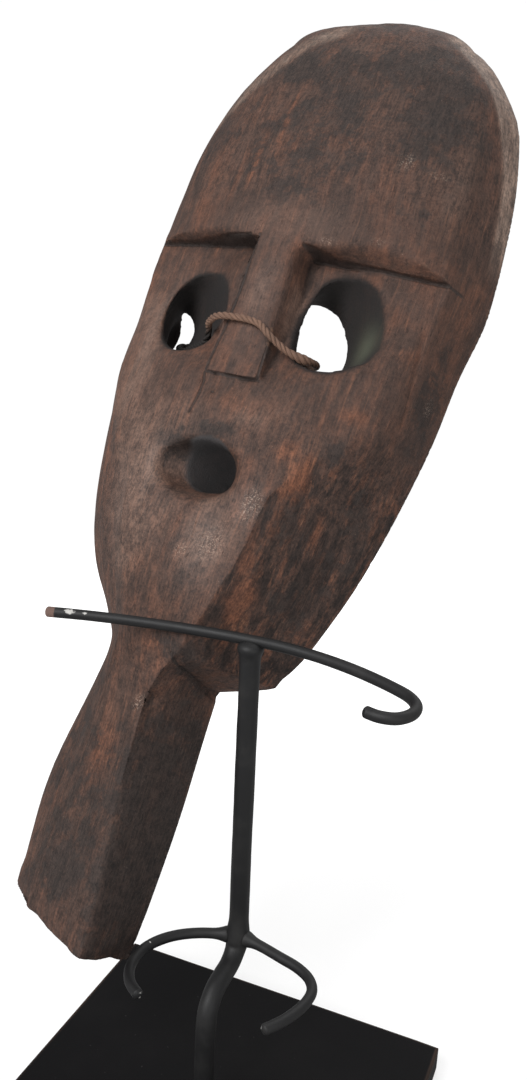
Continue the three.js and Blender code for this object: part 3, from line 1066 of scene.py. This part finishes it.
@dataclass
class CarvedMask:
    """The carved wooden mask, with blade marks, cracks, chips, edge wear with painted highlight, and painted
    shade in hollows.
    """

    seat: MaskFrame
    voxel: float = 0.0014
    snap: float = 1.0
    crisp_angle: float = 22.0
    face_rounds: int = 24
    rim_rounds: int = 3
    even_rounds: int = 6
    even_pulls: tuple[float, float] = (0.50, -0.52)
    seed: int = 41
    wave_rise: float = 0.38
    grain_rise: float = 0.10
    crease_rise: float = 0.7
    crown_rise: float = 0.25
    split_rises: tuple[float, float] = (0.50, 0.18)
    back_rise: float = 0.40
    low_end_rise: float = 0.45

    def block(self) -> tuple[np.ndarray, np.ndarray, np.ndarray, np.ndarray]:
        """Even fine skin over the carved solid, with points set on its carved edges.

        Returns:
            Points in the mask's millimetres, distance of each from the nearest carved edge, neighbour pairs
            and four-sided faces.
        """
        made = bpy.data.objects.new("block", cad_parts["mask"].data.copy())
        bpy.context.scene.collection.objects.link(made)
        solid = bmesh.new()
        solid.from_mesh(made.data)
        bmesh.ops.remove_doubles(solid, verts=solid.verts, dist=1e-6)
        edges = self.carved_edges(solid)
        surface = BVHTree.FromBMesh(solid)
        grid = made.modifiers.new("even", "REMESH")
        grid.mode = "VOXEL"
        grid.voxel_size = self.voxel
        mesh = made.evaluated_get(bpy.context.evaluated_depsgraph_get()).to_mesh()
        points = np.zeros((len(mesh.vertices), 3))
        gap = np.zeros(len(mesh.vertices))
        for k, vertex in enumerate(mesh.vertices):
            edge, _, gap[k] = edges.find(vertex.co)
            points[k] = edge if gap[k] < self.voxel * self.snap else surface.find_nearest(vertex.co)[0]
        pairs = np.zeros(len(mesh.edges) * 2, int)
        mesh.edges.foreach_get("vertices", pairs)
        faces = np.array([tuple(p.vertices) for p in mesh.polygons])
        solid.free()
        bpy.data.objects.remove(made)
        return self.seat.inward(points), gap / MM, pairs.reshape(-1, 2), faces

    def carved_edges(self, solid: bmesh.types.BMesh) -> KDTree:
        """Points along the solid's crisp edges.

        Args:
            solid: the carved solid.

        Returns:
            A search tree of the points.
        """
        found = []
        for edge in solid.edges:
            if edge.calc_face_angle(0.0) > math.radians(self.crisp_angle):
                a, b = (vertex.co for vertex in edge.verts)
                middle = self.seat.inward(np.array((a + b) / 2))
                if any(zone.holds(middle) for zone in SOFT_ZONES):
                    continue
                steps = max(1, math.ceil(edge.calc_length() / (0.3 * self.voxel)))
                found += [a.lerp(b, k / steps) for k in range(steps + 1)]
        tree = KDTree(len(found))
        for k, place in enumerate(found):
            tree.insert(place, k)
        tree.balance()
        return tree

    @staticmethod
    def around(values: np.ndarray, pairs: np.ndarray) -> np.ndarray:
        """Mean of each point's neighbours.

        Args:
            values: n by m values.
            pairs: neighbour pairs.

        Returns:
            n by m means.
        """
        count = len(values)
        ends = np.concatenate([pairs[:, 0], pairs[:, 1]])
        others = np.concatenate([pairs[:, 1], pairs[:, 0]])
        share = np.maximum(np.bincount(ends, minlength=count), 1)
        return np.column_stack(
            [np.bincount(ends, values[others, k], count) / share for k in range(values.shape[1])]
        )

    @staticmethod
    def normals(points: np.ndarray, faces: np.ndarray) -> np.ndarray:
        """Unit normals at the points of four-sided faces."""
        lean = np.cross(points[faces[:, 2]] - points[faces[:, 0]], points[faces[:, 3]] - points[faces[:, 1]])
        total = np.column_stack(
            [sum(np.bincount(faces[:, k], lean[:, axis], len(points)) for k in range(4)) for axis in range(3)]
        )
        return total / np.maximum(np.linalg.norm(total, axis=1), 1e-12)[:, None]

    def softened(self, points: np.ndarray, gap: np.ndarray, pairs: np.ndarray) -> np.ndarray:
        """Smooth the broad faces and only break the crisp edges.

        Args:
            points: places in millimetres.
            gap: distance of each from the nearest carved edge.
            pairs: neighbour pairs.

        Returns:
            The smoothed places.
        """
        on_rim = (gap < self.voxel * self.snap / MM) & (points[:, 2] < 0.3)
        moving = np.where(on_rim, 0.0, 1.0)[:, None]
        low = (ease(points[:, 2], 8.0, 4.0) * ease(points[:, 1], -256, -246))[:, None]
        free = ease(gap, 1.1, 2.0)[:, None] * (1 - low)
        for k in range(self.face_rounds):
            loose = free + low if k < self.rim_rounds else free
            points = points + 0.5 * moving * loose * (self.around(points, pairs) - points)
        for _ in range(self.even_rounds):
            for pull in self.even_pulls:
                points = points + pull * moving * (self.around(points, pairs) - points)
        return points

    @staticmethod
    def pulled(q: np.ndarray) -> np.ndarray:
        """Points after the soft pulls on the form."""
        moved = q.copy()
        for shift in SHIFTS:
            moved += shift.share(q)[:, None] * np.array(shift.move)
        return moved

    def lift(self, q: np.ndarray, n: np.ndarray) -> np.ndarray:
        """How far the surface stands out from the plain form.

        Args:
            q: places in millimetres.
            n: normals.

        Returns:
            One height per point, in millimetres.
        """
        broad, fine, knock = Waves(self.seed), Waves(self.seed + 1), Waves(self.seed + 2)
        x, y, z = q.T
        rise = self.wave_rise * broad.layered(q / [20, 44, 20])
        rise += self.grain_rise * fine.at(q / [3.0, 24, 3.0])
        right = ease(n[:, 0], 0.2, 0.5) * ease(y, 30, 60) * ease(y, 146, 134)
        rise += self.crease_rise * right * np.exp(-np.abs(z - self.rim_top(y)) / 3.0)
        rise += ease(y, 128, 146) * self.crown_rise * knock.layered(q / [8, 8, 8], 2)
        coarse, thin = self.split_rises
        rise += self.raw(q, n) * (coarse * fine.at(q / [8, 46, 8]) + thin * fine.at(q / [4.4, 34, 4.4] + 9))
        rise *= ease(z, 2, 9)
        rise += ease(n[:, 2], -0.75, -0.95) * self.back_rise * knock.at(q / [14, 22, 14])
        rise += ease(y, -252, -262) * self.low_end_rise * knock.layered(q / [8, 8, 8], 2)
        for scoop in SCOOPS:
            rise -= scoop.depth * scoop.share(q)
        for cut in CUTS:
            rise -= cut.depth * np.exp(-((self.distance(q, cut.points) / cut.width) ** 2))
        return rise

    @staticmethod
    def rim_top(y: np.ndarray) -> np.ndarray:
        """Height of the crease above the pale band along the right rim."""
        return np.interp(y, [row[0] for row in RIM_TOP], [row[1] for row in RIM_TOP])

    @staticmethod
    def raw(q: np.ndarray, n: np.ndarray) -> np.ndarray:
        """Share of each point that lies on the rough, split faces right of the jaw and the handle."""
        beside = np.maximum(ease(q[:, 0], 20, 28), 0.4 * ease(q[:, 1], -140, -155))
        return ease(n[:, 0], 0.36, 0.60) * ease(q[:, 1], -40, -72) * beside

    @staticmethod
    def distance(q: np.ndarray, line: Sequence[Place]) -> np.ndarray:
        """Distance of points from a line of straight stretches.

        Args:
            q: the points.
            line: the line's corners.

        Returns:
            One distance per point.
        """
        best = np.full(len(q), 1e9)
        for a, b in zip(np.array(line[:-1]), np.array(line[1:])):
            share = np.clip(((q - a) @ (b - a)) / ((b - a) @ (b - a)), 0, 1)[:, None]
            best = np.minimum(best, np.linalg.norm(q - a - share * (b - a), axis=1))
        return best

    @staticmethod
    def stained(q: np.ndarray, patches: Sequence[Patch]) -> np.ndarray:
        """Strength of a set of stains at each point."""
        total = np.zeros(len(q))
        for patch in patches:
            total = np.maximum(total, patch.strength * patch.share(q))
        return total

    @staticmethod
    def inside(q: np.ndarray) -> np.ndarray:
        """Share of each point that lies on the walls of the eye tunnels or the mouth.

        Args:
            q: places in millimetres.

        Returns:
            One share per point.
        """
        share = np.zeros(len(q))
        for hole in HOLES:
            s = np.clip((hole.front[2] - q[:, 2]) / (hole.front[2] - hole.back[2]), 0, 1)
            mid_x, mid_y = (hole.front[k] + s * (hole.back[k] - hole.front[k]) for k in range(2))
            half_x, half_y = (a + s * (b - a) for a, b in zip(hole.front_half, hole.back_half))
            square = hole.square[0] + s * (hole.square[1] - hole.square[0])
            off = np.abs((q[:, 0] - mid_x) / half_x) ** square + np.abs((q[:, 1] - mid_y) / half_y) ** square
            share = np.maximum(share, ease(off ** (1 / square), 1.10, 1.02) * ease(q[:, 2], 2, 6))
        return share

    def build(self) -> bpy.types.Object:
        """Carve the mask and set it on its node.

        Returns:
            The dressed mask.
        """
        points, gap, pairs, faces = self.block()
        points = self.softened(points, gap, pairs)
        normal = self.normals(points, faces)
        hole = self.inside(points)
        points = self.pulled(points + normal * (self.lift(points, normal) * (1 - hole))[:, None])
        normal = self.normals(points, faces)
        curve = ((self.around(points, pairs) - points) * normal).sum(1)
        slow = curve.copy()
        for _ in range(3):
            slow = self.around(slow[:, None], pairs)[:, 0]
        piece = Skin(self.seat.outward(points), faces.tolist()).piece("carved_mask")
        y, z = points[:, 1], points[:, 2]
        top = self.rim_top(y)
        side = ease(normal[:, 0], 0.30, 0.55) * ease(y, 36, 60) * ease(z, top + 2.0, top - 2.0)
        bevel = ease(self.distance(points, CORNER_BEVEL), 8.0, 2.0)
        marks = {
            # Convex places: edge wear with painted highlight. Concave places: soot with painted shade.
            "wear_and_highlight": ease(-slow, 0.02, 0.11) * (1 - hole),
            "hollow_soot_and_shade": ease(slow, 0.02, 0.12) * (1 - hole),
            "raw": self.raw(points, normal),
            "rim": np.maximum(side, bevel * 0.5),
            "inside": hole,
            "dark": self.stained(points, SOOT_AND_SHADE),
            "warm": self.stained(points, WARM),
            "pale": self.stained(points, PAINTED_SHEEN),
            "scrape_and_glint": self.stained(points, SCRAPES_AND_GLINTS),
            "polish": self.stained(points, POLISH),
            "green": self.stained(points, GREEN),
        }
        for name, values in marks.items():
            paint(piece, name, values)
        return seat(piece, "mask", Slot.WOOD, AgedWood(self.seat).material())


CORD_ROUTE = (
    (0, -9, 4.2), (-22, -9, 4.2), (-42, -10.2, 4.3), (-50.5, -11.3, 4.7), (-53.2, -12.2, 7), (-51, -12.8, 10),
    (-46, -13, 14), (-38.2, -13, 20), (-30.4, -13, 26), (-25, -13, 31), (-23, -13, 36), (-21.5, -13, 39.5),
    (-18.5, -12.8, 43), (-14.6, -12.4, 46.1), (-10, -12.1, 47.1), (1.9, -12.5, 47.1), (7, -13.8, 47.1),
    (12, -17.3, 47.1), (15.6, -19.3, 44.6), (19.5, -21.1, 41.8), (24, -22.1, 39.4), (27.6, -21.8, 35.6),
    (28.4, -20.3, 30), (25.5, -18, 22), (18.5, -15, 12.5), (10, -11.5, 5.4), (3, -9, 4.2),
)
CORD_BULGE = (26.0, -22.0, 37.6)


@dataclass
class NoseCord:
    """Twisted cord that crosses the nose bridge and is knotted behind it."""

    seat: MaskFrame
    strands: int = 3
    strand_radius: float = 0.80
    lay_radius: float = 0.76
    pitch: float = 8.5
    sag: float = 5.0
    sides: int = 8
    step: float = 0.7
    bulge: float = 0.38
    bulge_reach: float = 4.0
    unevenness: float = 0.07
    knot_place: Place = (1.0, -9.0, 4.2)
    knot_size: Place = (0.62, 0.62, 0.9)
    knot_radius: float = 0.95
    knot_step: float = 0.5

    def strand(self, line: np.ndarray, start: float) -> Skin:
        """One strand that winds round the cord's line.

        Args:
            line: the cord's line in millimetres.
            start: its turn at the beginning.

        Returns:
            The strand's skin.
        """
        across, up = frames(line)
        run = np.arange(len(line)) * np.linalg.norm(line[1] - line[0])
        turn = start + 2 * math.pi * run / self.pitch
        from_bulge = np.linalg.norm(line - CORD_BULGE, axis=1)
        thick = 1 + self.bulge * np.exp(-((from_bulge / self.bulge_reach) ** 2))
        spread = (self.lay_radius * thick)[:, None]
        own = line + spread * (across * np.cos(turn)[:, None] + up * np.sin(turn)[:, None])
        wave = Waves(7).at(np.column_stack([run / 3, np.full(len(run), start), run * 0]))
        swell = thick * (1 + self.unevenness * wave)
        return sweep(own, self.strand_radius * swell, self.sides)

    def knot(self) -> np.ndarray:
        """Line of the overhand knot where the two ends meet."""
        t = np.linspace(0, 2 * math.pi, 60)
        loop = np.column_stack([np.sin(t) + 2 * np.sin(2 * t), np.cos(t) - 2 * np.cos(2 * t), -np.sin(3 * t)])
        return np.array(self.knot_place) + loop * self.knot_size

    def build(self) -> bpy.types.Object:
        """Lay up the strands and set the cord on its node.

        Returns:
            The dressed cord.
        """
        line = route(CORD_ROUTE, self.step)
        x, z = line[:, 0], line[:, 2]
        line[:, 1] -= self.sag * ease(z, 38, 28) * ease(z, 4, 15) * ease(x, -18, -24)
        skin = None
        run, round_, crevice_shade = [], [], []
        for k in range(self.strands):
            made = self.strand(line, 2 * math.pi * k / self.strands)
            middle = np.repeat(line, self.sides, axis=0)
            run.append(np.repeat(np.arange(len(line)) * self.step, self.sides))
            round_.append(np.tile(np.arange(self.sides) / self.sides, len(line)) + k)
            # Painted shade between the strands, darkest near the cord's middle.
            crevice_shade.append(ease(np.linalg.norm(made.points - middle, axis=1), 1.3, 0.5))
            skin = made if skin is None else skin.joined(made)
        for k in range(2):
            tie = self.knot() + [0.4 * k, 0.3 * k, 0.5 * k - 0.2]
            made = sweep(tie, np.full(len(tie), self.knot_radius), self.sides)
            run.append(np.repeat(np.arange(len(tie)) * self.knot_step, self.sides))
            round_.append(np.tile(np.arange(self.sides) / self.sides, len(tie)) + 5 + k)
            crevice_shade.append(np.zeros(len(made.points)))
            skin = skin.joined(made)
        # Painted shade: the cord darkens where it runs inside the left eye.
        soot_and_shade_amount = ease(skin.points[:, 2], 40, 34) * ease(skin.points[:, 0], -14, -19)
        skin.points = self.seat.outward(skin.points)
        piece = skin.piece("nose_cord_twist")
        paint(piece, "soot_and_shade_amount", soot_and_shade_amount * 0.95)
        for name, values in (("run", run), ("round", round_), ("crevice_shade", crevice_shade)):
            paint(piece, name, np.concatenate(values))
        return seat(piece, "nose_cord", Slot.FIBRE, TwistedFibre().material())


HOOK = ((67, 8.2), (70.7, 2.5), (70.9, -4), (67.4, -9.3), (62, -10.6), (56.4, -9))
ARM_LEFT = (
    (-14.3, 21.5), (-21.7, 16.3), (-26.7, 10.3), (-29.6, 3.8),
    (-30.2, -3.5), (-28.6, -10.5), (-24.8, -16.3), (-18.2, -21),
)
ARM_RIGHT = (
    (12.4, 25), (21, 22.6), (29.6, 20), (35.7, 16.2), (39, 10.8),
    (39.3, 4.3), (37.6, -2.8), (34.5, -9.9), (30.2, -16.4),
)
CHIPS = (
    Patch((-73.5, 16.6, 208.6), (4.0, 3.0, 1.8), 1.2),
    Patch((-67.5, 18.0, 208.6), (2.8, 3.0, 1.6), 1.05),
    Patch((-28.3, 4.8, 79.8), (1.6, 1.6, 1.2), 0.9),
)


@dataclass
class IronStand:
    """Square plate, bent upright, bowed crossbar with a hook and two cradle arms."""

    plate_side: float = 156.0
    plate_thick: float = 12.0
    plate_round: float = 0.9
    gap: float = 0.3
    weld_rise: float = 2.6
    weld_reach: float = 4.0
    foot_flare: float = 0.7
    head_flare: float = 2.6
    arm_flare: float = 1.5
    arm_sink: float = 1.0
    brown_edge_width: float = 1.3
    corner_round: float = 0.22
    plate_steps: int = 24
    rod_radius: float = 4.0
    bar_radius: float = 2.1
    rod_back: float = 27.6
    bend_low: float = 57.0
    bend_top: float = 76.0
    cradle_height: float = 78.0
    bar_height: float = 207.0
    bow_apex: tuple[float, float] = (4.0, 28.7)
    bow_radius_left: float = 300.0
    bow_radius_right: float = 100.0
    bow_left_end: float = -84.0
    bow_right_end: float = 60.0
    sides: int = 28
    step: float = 1.2

    def rod(
        self,
        name: str,
        node: str,
        points: Sequence[Sequence[float]],
        radius: float,
        flare: tuple[float, float],
        ends: tuple[EndLook, EndLook],
        finish: bpy.types.Material,
        swell: Sequence[Place] = (),
        crowns: tuple[float, float] = (0.55, 0.55),
    ) -> bpy.types.Object:
        """One round rod, a little uneven, with weld flares.

        Args:
            name: the piece's name.
            node: the node that it stands for.
            points: its route in millimetres.
            radius: its radius.
            flare: how much a weld widens it at its first and last end.
            ends: how each of its ends looks.
            finish: its material.
            swell: weld swellings along it, each height, reach and amount.
            crowns: rounding of each end as a share of the radius.

        Returns:
            The dressed rod.
        """
        line = route(points, self.step)
        run = np.arange(len(line)) * np.linalg.norm(line[1] - line[0])
        radii = np.full(len(line), radius)
        for amount, from_weld in zip(flare, (run, run[-1] - run)):
            radii += amount * np.exp(-((from_weld / self.weld_reach) ** 2))
        for height, reach, amount in swell:
            radii += amount * np.exp(-(((line[:, 2] - height) / reach) ** 2))
        line, radii = domed(line, radii, crowns)
        skin = sweep(line, radii, self.sides)
        middle = np.repeat(line, self.sides, axis=0)
        wave = Waves(len(name)).layered(skin.points / 9.0, 2)
        out = skin.points - middle
        skin.points = middle + out * (1 + 0.018 * wave)[:, None]
        from_start = np.linalg.norm(middle - line[0], axis=1)
        from_end = np.linalg.norm(middle - line[-1], axis=1)
        wear_and_highlight = {"bright": np.zeros(len(middle)), "rusty": np.zeros(len(middle))}
        for place, kind in zip((from_start, from_end), ends):
            # Painted highlight at a glinting cut end.
            wear_and_highlight["bright"] += (kind is EndLook.GLINT) * ease(place, 1.6, 0.2) * 0.8
            wear_and_highlight["rusty"] += (kind is EndLook.RUSTY) * ease(place, 5.0, 3.2)
        for chip in CHIPS:
            wear_and_highlight["bright"] = np.maximum(wear_and_highlight["bright"], chip.strength * chip.share(skin.points))
        skin.points = skin.points * MM
        piece = skin.piece(name)
        for key, values in wear_and_highlight.items():
            paint(piece, key, values)
        return seat(piece, node, Slot.ROD, finish)

    def upright(self, finish: bpy.types.Material) -> bpy.types.Object:
        """The stem: up from the plate, back in an S-bend, and straight up to the crossbar."""
        low, top, back = self.bend_low, self.bend_top, self.rod_back
        points = (
            (0, 0, self.plate_thick + self.gap), (0, 0, 34), (0, 0, low - 4), (0, 1.5, low + 4.5),
            (0, 7, low + 9.5), (0, 14, low + 11), (0, back - 7, top - 7), (0, back - 1.5, top - 3),
            (0, back, top + 3), (0, back, 120),
            (0, back, self.bar_height - self.bar_radius - self.gap + self.weld_rise),
        )
        weld = ((self.cradle_height, 5.0, 0.9),)
        plain = (EndLook.PLAIN, EndLook.PLAIN)
        flare = (self.foot_flare, self.head_flare)
        return self.rod(
            "upright_rod", "upright", points, self.rod_radius, flare, plain, finish, weld, (0.15, 0.7)
        )

    def crossbar(self, finish: bpy.types.Material) -> bpy.types.Object:
        """The bowed rest with its hook."""
        points = []
        for x in np.linspace(self.bow_left_end, self.bow_right_end, 10):
            reach = x - self.bow_apex[0]
            radius = self.bow_radius_left if reach < 0 else self.bow_radius_right
            points.append((x, self.bow_apex[1] - reach * reach / (2 * radius), self.bar_height))
        points += [(x, y, self.bar_height) for x, y in HOOK]
        return self.rod(
            "crossbar_rod", "crossbar", points, self.bar_radius, (0.0, 0.0), (EndLook.RUSTY, EndLook.PLAIN), finish
        )

    def arm(
        self, name: str, node: str, plan: Sequence[tuple[float, float]], finish: bpy.types.Material
    ) -> bpy.types.Object:
        """One claw of the cradle, welded to the upright.

        Args:
            name: the piece's name.
            node: the node that it stands for.
            plan: its route seen from above, in millimetres.
            finish: its material.

        Returns:
            The dressed arm.
        """
        hub = Vector((0, self.rod_back))
        lead = hub + (Vector(plan[0]) - hub).normalized() * (self.rod_radius - self.arm_sink)
        points = [(lead.x, lead.y, self.cradle_height)] + [(x, y, self.cradle_height) for x, y in plan]
        ends = (EndLook.PLAIN, EndLook.GLINT)
        return self.rod(name, node, points, self.bar_radius, (self.arm_flare, 0.0), ends, finish)

    def plate(self) -> bpy.types.Object:
        """The square plate with softly rounded edges.

        Returns:
            The dressed plate.
        """
        half, thick, soft = self.plate_side / 2, self.plate_thick, self.plate_round
        turn = np.linspace(0, math.pi / 2, 4)
        profile = [(half - soft * (1 - math.sin(t)), soft * (1 - math.cos(t))) for t in turn]
        profile += [(half, thick * s) for s in (0.3, 0.5, 0.7)]
        profile += [(half - soft * (1 - math.cos(t)), thick - soft * (1 - math.sin(t))) for t in turn]
        inner = [half * s for s in (0.98, 0.93, 0.8, 0.6, 0.35, 0.12)]
        rows = [(w, 0.0) for w in reversed(inner)] + profile + [(w, thick) for w in inner]
        per_side = self.plate_steps
        points, edge = [], []
        for width, height in rows:
            for corner in range(4):
                for k in range(per_side):
                    s = math.tan((k / per_side - 0.5) * math.pi / 2)
                    a = Vector((width, width * s))
                    for _ in range(corner):
                        a = Vector((-a.y, a.x))
                    corner_cut = max(0.0, abs(s) - 1 + soft / half) * half / soft
                    kept = 1 - self.corner_round * soft / half * corner_cut**2
                    points.append(tuple(a * kept) + (height,))
                    brown_edge = min(height, thick - height) < self.brown_edge_width
                    edge.append(float(width > half - soft * 1.01 and brown_edge))
        faces = tube(len(rows), 4 * per_side)
        piece = Skin(np.array(points) * MM, faces).piece("base_plate")
        sharp = piece.modifiers.new("corners", "EDGE_SPLIT")
        sharp.split_angle = math.radians(40)
        paint(piece, "edge", np.array(edge))
        return seat(piece, "base", Slot.PLATE, BlackPlatePaint().material())

    def build(self) -> list[bpy.types.Object]:
        """Make the stand's pieces in order.

        Returns:
            The dressed pieces.
        """
        finish = BlackRodPaint().material()
        return [
            self.plate(),
            self.upright(finish),
            self.crossbar(finish),
            self.arm("left_cradle_arm", "cradle_arm_left", ARM_LEFT, finish),
            self.arm("right_cradle_arm", "cradle_arm_right", ARM_RIGHT, finish),
        ]


@dataclass(frozen=True)
class Lamp:
    """A soft square light: place and aim in metres, side length and power."""

    name: str
    place: Place
    aim: Place
    side: float
    power: float


@dataclass
class Studio:
    """Camera, pale floor and soft lights."""

    eye: Place = (0.1389, -0.2942, 0.3465)
    right: Place = (0.9154, 0.4000, 0.0451)
    down: Place = (0.1494, -0.2337, -0.9608)
    ahead: Place = (-0.3738, 0.8862, -0.2737)
    focal: float = 1000.0 / 1080.0 * 36.0
    floor_radius: float = 0.9
    floor_steps: int = 96
    backdrop_radius: float = 8.0
    backdrop_ring: int = 48
    backdrop_rows: int = 24
    backdrop_rise: float = 1.5
    sky: float = 0.47
    lamps: tuple[Lamp, ...] = (
        Lamp("key", (-0.45, -1.0, 1.15), (-0.03, 0.12, 0.30), 0.9, 22.0),
        Lamp("fill", (0.95, -0.75, 0.55), (-0.03, 0.12, 0.25), 0.9, 4.0),
        Lamp("top", (0.1, 0.9, 1.4), (0.0, 0.1, 0.25), 1.0, 8.0),
    )

    def camera(self) -> None:
        """Set up the camera at the photograph's viewing angle."""
        data = bpy.data.cameras.new("camera")
        data.sensor_width = 36.0
        data.lens = self.focal
        data.clip_start = 0.01
        holder = bpy.data.objects.new("camera", data)
        right, down, ahead = (Vector(v).normalized() for v in (self.right, self.down, self.ahead))
        place = Matrix((right, -down, -ahead)).transposed().to_4x4()
        place.translation = Vector(self.eye)
        holder.matrix_world = place
        bpy.context.scene.collection.objects.link(holder)
        bpy.context.scene.camera = holder

    @staticmethod
    def set_aside(piece: bpy.types.Object, finish: bpy.types.Material, bounce: bool) -> None:
        """Dress a piece of the studio and keep its reflection off the part.

        Args:
            piece: the studio piece.
            finish: its material.
            bounce: whether it throws soft light on the part.
        """
        piece.data.materials.append(finish)
        piece.visible_diffuse = bounce
        piece.visible_glossy = False

    def floor(self) -> None:
        """Lay the round floor."""
        turn = np.linspace(0, 2 * math.pi, self.floor_steps, endpoint=False)
        edge = np.column_stack([np.cos(turn), np.sin(turn), 0 * turn]) * self.floor_radius
        piece = Skin(edge, [tuple(range(len(turn)))]).piece("floor", smooth=False)
        self.set_aside(piece, PalePaper().material(), True)

    def backdrop(self) -> None:
        """Hang the white backdrop all round."""
        round_ = np.linspace(0, 2 * math.pi, self.backdrop_ring, endpoint=False)
        rises = np.linspace(-self.backdrop_rise, self.backdrop_rise, self.backdrop_rows)
        turn, rise = np.meshgrid(round_, rises)
        points = np.column_stack([
            (np.cos(rise) * np.cos(turn)).ravel(), (np.cos(rise) * np.sin(turn)).ravel(), np.sin(rise).ravel()
        ])
        faces = [tuple(reversed(face)) for face in tube(self.backdrop_rows, self.backdrop_ring)]
        piece = Skin(points * self.backdrop_radius, faces).piece("backdrop")
        piece.visible_shadow = False
        self.set_aside(piece, WhiteCloth().material(), False)

    def light(self) -> None:
        """Hang the lamps and fill the room with even light."""
        for lamp in self.lamps:
            data = bpy.data.lights.new(lamp.name, "AREA")
            data.shape = "SQUARE"
            data.size = lamp.side
            data.energy = lamp.power
            holder = bpy.data.objects.new(lamp.name, data)
            holder.location = lamp.place
            toward = Vector(lamp.aim) - Vector(lamp.place)
            holder.rotation_euler = toward.to_track_quat("-Z", "Y").to_euler()
            bpy.context.scene.collection.objects.link(holder)
        world = bpy.data.worlds.new("room")
        world.use_nodes = True
        ground = world.node_tree.nodes["Background"]
        ground.inputs["Color"].default_value = (1, 1, 1, 1)
        ground.inputs["Strength"].default_value = self.sky
        bpy.context.scene.world = world
        bpy.context.scene.view_settings.view_transform = "Standard"

    def build(self) -> None:
        """Make the whole studio."""
        self.camera()
        self.floor()
        self.backdrop()
        self.light()


def main() -> None:
    """Build every piece in order."""
    logging.basicConfig(level=logging.INFO, format="%(name)s %(message)s")
    place = MaskFrame()
    Studio().build()
    NoseCord(place).build()
    CarvedMask(place).build()
    IronStand().build()


if __name__ == "__main__":
    main()
